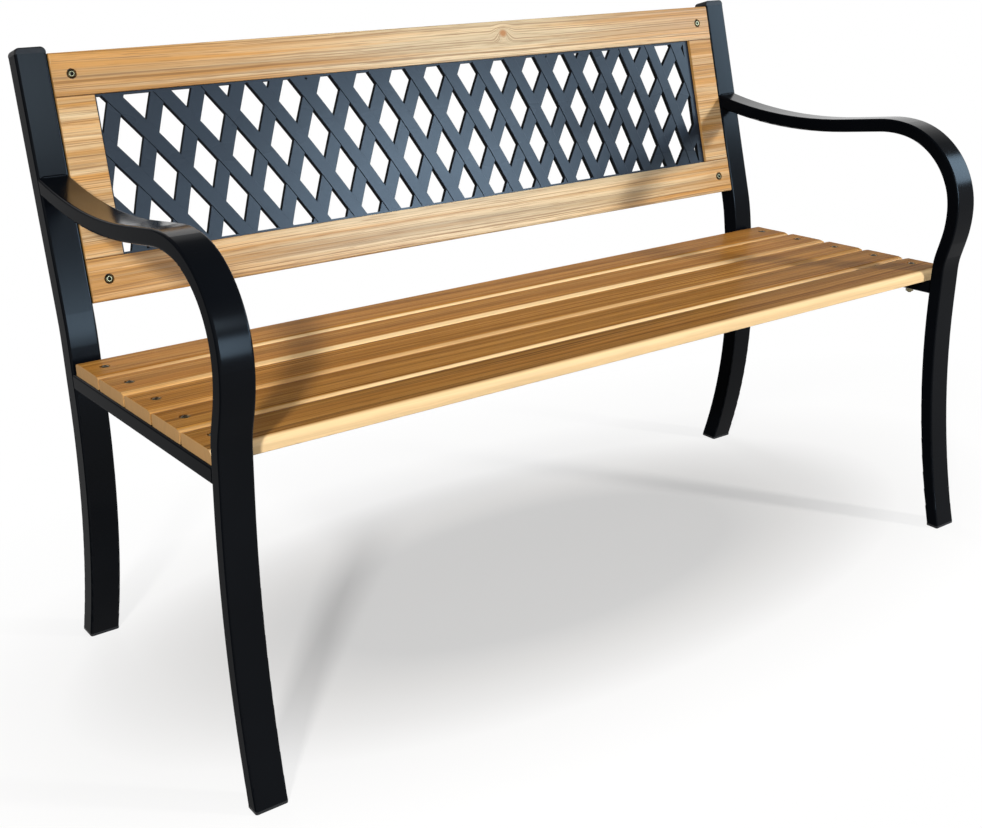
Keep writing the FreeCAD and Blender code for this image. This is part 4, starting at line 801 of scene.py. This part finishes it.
# Glow for seen rays rises away from the bench; the lower glow under the bench is a painted soft shadow.
FLOOR_GLOW_AND_SHADOW = [(0.22, 0.33), (0.30, 0.46), (0.375, 0.61), (0.45, 0.79), (0.60, 0.92), (0.90, 1.0)]
WHITE = (1, 1, 1, 1)
EVEN_LIGHT = (0.05, 0.05, 0.05, 1)
BACKDROP = [(0.0, 1.0), (0.35, 1.0), (0.75, 0.25)]
LAMP_TARGET = Vector((0, 0, 0.5))
CAMERA_PLACE = (-1.1518935, -1.4552633, 0.9320573)
CAMERA_YAW, CAMERA_PITCH, CAMERA_ROLL = 0.6210163341, 0.2938027234, 0.0152565712
SENSOR_WIDTH, CAMERA_LENS = 36.0, 50.403
CAMERA_SHIFT_X, CAMERA_SHIFT_Y = 0.018991, -0.088698

floor_mesh = bpy.data.meshes.new("floor")
floor_turns = [math.tau * step / FLOOR_SIDES for step in range(FLOOR_SIDES)]
floor_ring = [(FLOOR_RADIUS * math.cos(turn), FLOOR_RADIUS * math.sin(turn), 0) for turn in floor_turns]
floor_mesh.from_pydata(floor_ring, [], [list(range(FLOOR_SIDES))])
floor = bpy.data.objects.new("floor", floor_mesh)
scene.collection.objects.link(floor)


def seen_ray(tree):
    """1 for rays from the camera, a mirror or glass, and 0 for those that only carry light."""
    path = add_node(tree, "ShaderNodeLightPath").outputs
    glossy = calc(tree, "ADD", path["Is Glossy Ray"], path["Is Transmission Ray"])
    return calc(tree, "MINIMUM", calc(tree, "ADD", path["Is Camera Ray"], glossy), 1.0)


floor_finish, floor_tree, floor_shader, floor_place = new_finish("pale_floor")
under_bench = vector_calc(floor_tree, "MULTIPLY", floor_place, FLOOR_SPREAD)
out_share = vector_calc(floor_tree, "LENGTH", under_bench, output="Value")
floor_glow_and_shadow = blend_stops(floor_tree, out_share, FLOOR_GLOW_AND_SHADOW)
feed(floor_tree, floor_shader, {
    "Base Color": blend_stops(floor_tree, out_share, FLOOR_COLOURS),
    "Roughness": 1.0,
    "Specular IOR Level": 0.0,
    "Emission Color": WHITE,
    "Emission Strength": calc(floor_tree, "MULTIPLY", seen_ray(floor_tree), floor_glow_and_shadow)})
floor_mesh.materials.append(floor_finish)

world = bpy.data.worlds.new("studio")
world.use_nodes = True
scene.world = world
sky = world.node_tree
sky_height = split(sky, add_node(sky, "ShaderNodeTexCoord").outputs["Generated"])["Z"]
sky_strength = mix_colours(sky, seen_ray(sky), EVEN_LIGHT, blend_stops(sky, sky_height, BACKDROP))
feed(sky, sky.nodes["Background"], {"Color": WHITE, "Strength": sky_strength})


def add_lamp(name, azimuth, elevation, away, size, power, colour, window=False):
    """A lamp that faces the seat back from so far away. Azimuth 0 is straight in front, 90 at the right.

    A window shows in reflections and lights nothing else; any other lamp doesn't show in them."""
    turn, rise = math.radians(azimuth), math.radians(elevation)
    heading = Vector((math.sin(turn) * math.cos(rise), -math.cos(turn) * math.cos(rise), math.sin(rise)))
    lamp = bpy.data.objects.new(name, bpy.data.lights.new(name, "AREA"))
    lamp.data.shape = "RECTANGLE"
    lamp.data.size, lamp.data.size_y = size
    lamp.data.energy = power
    lamp.data.color = colour
    lamp.location = LAMP_TARGET + away * heading
    lamp.rotation_euler = (-heading).to_track_quat("-Z", "Y").to_euler()
    lamp.visible_glossy = window
    lamp.visible_diffuse = not window
    scene.collection.objects.link(lamp)


add_lamp("key_lamp", 40, 14, 3.1, (0.20, 0.20), 70, (1.0, 0.97, 0.93))
add_lamp("middle_window", 34.0, 12.8, 3.0, (0.9, 0.8), 95, (0.52, 0.75, 1.0), window=True)
add_lamp("left_low_window", 10.2, 5.2, 3.33, (0.55, 0.95), 44, (0.54, 0.77, 1.0), window=True)
add_lamp("left_high_window", 10.2, 26.4, 3.70, (0.55, 0.60), 16, (0.62, 0.82, 1.0), window=True)
add_lamp("right_window", 63.1, 20.2, 3.39, (0.9, 1.1), 64, (0.54, 0.77, 1.0), window=True)
add_lamp("left_lamp", -47.6, 23.5, 3.54, (0.26, 0.26), 105, (1.0, 0.98, 0.95))
add_lamp("overhead_lamp", 0, 88, 4.0, (2.6, 2.6), 34, (1, 1, 1))
add_lamp("rear_lamp", 170, 7, 3.6, (1.6, 1.6), 62, (1, 1, 1))

camera = bpy.data.objects.new("camera", bpy.data.cameras.new("camera"))
camera.data.sensor_width = SENSOR_WIDTH
camera.data.lens = CAMERA_LENS
camera.data.shift_x = CAMERA_SHIFT_X
camera.data.shift_y = CAMERA_SHIFT_Y
camera.matrix_world = (Matrix.Translation(CAMERA_PLACE) @ Matrix.Rotation(-CAMERA_YAW, 4, "Z")
                       @ Matrix.Rotation(math.pi / 2 - CAMERA_PITCH, 4, "X")
                       @ Matrix.Rotation(-CAMERA_ROLL, 4, "Z"))
scene.collection.objects.link(camera)
scene.camera = camera
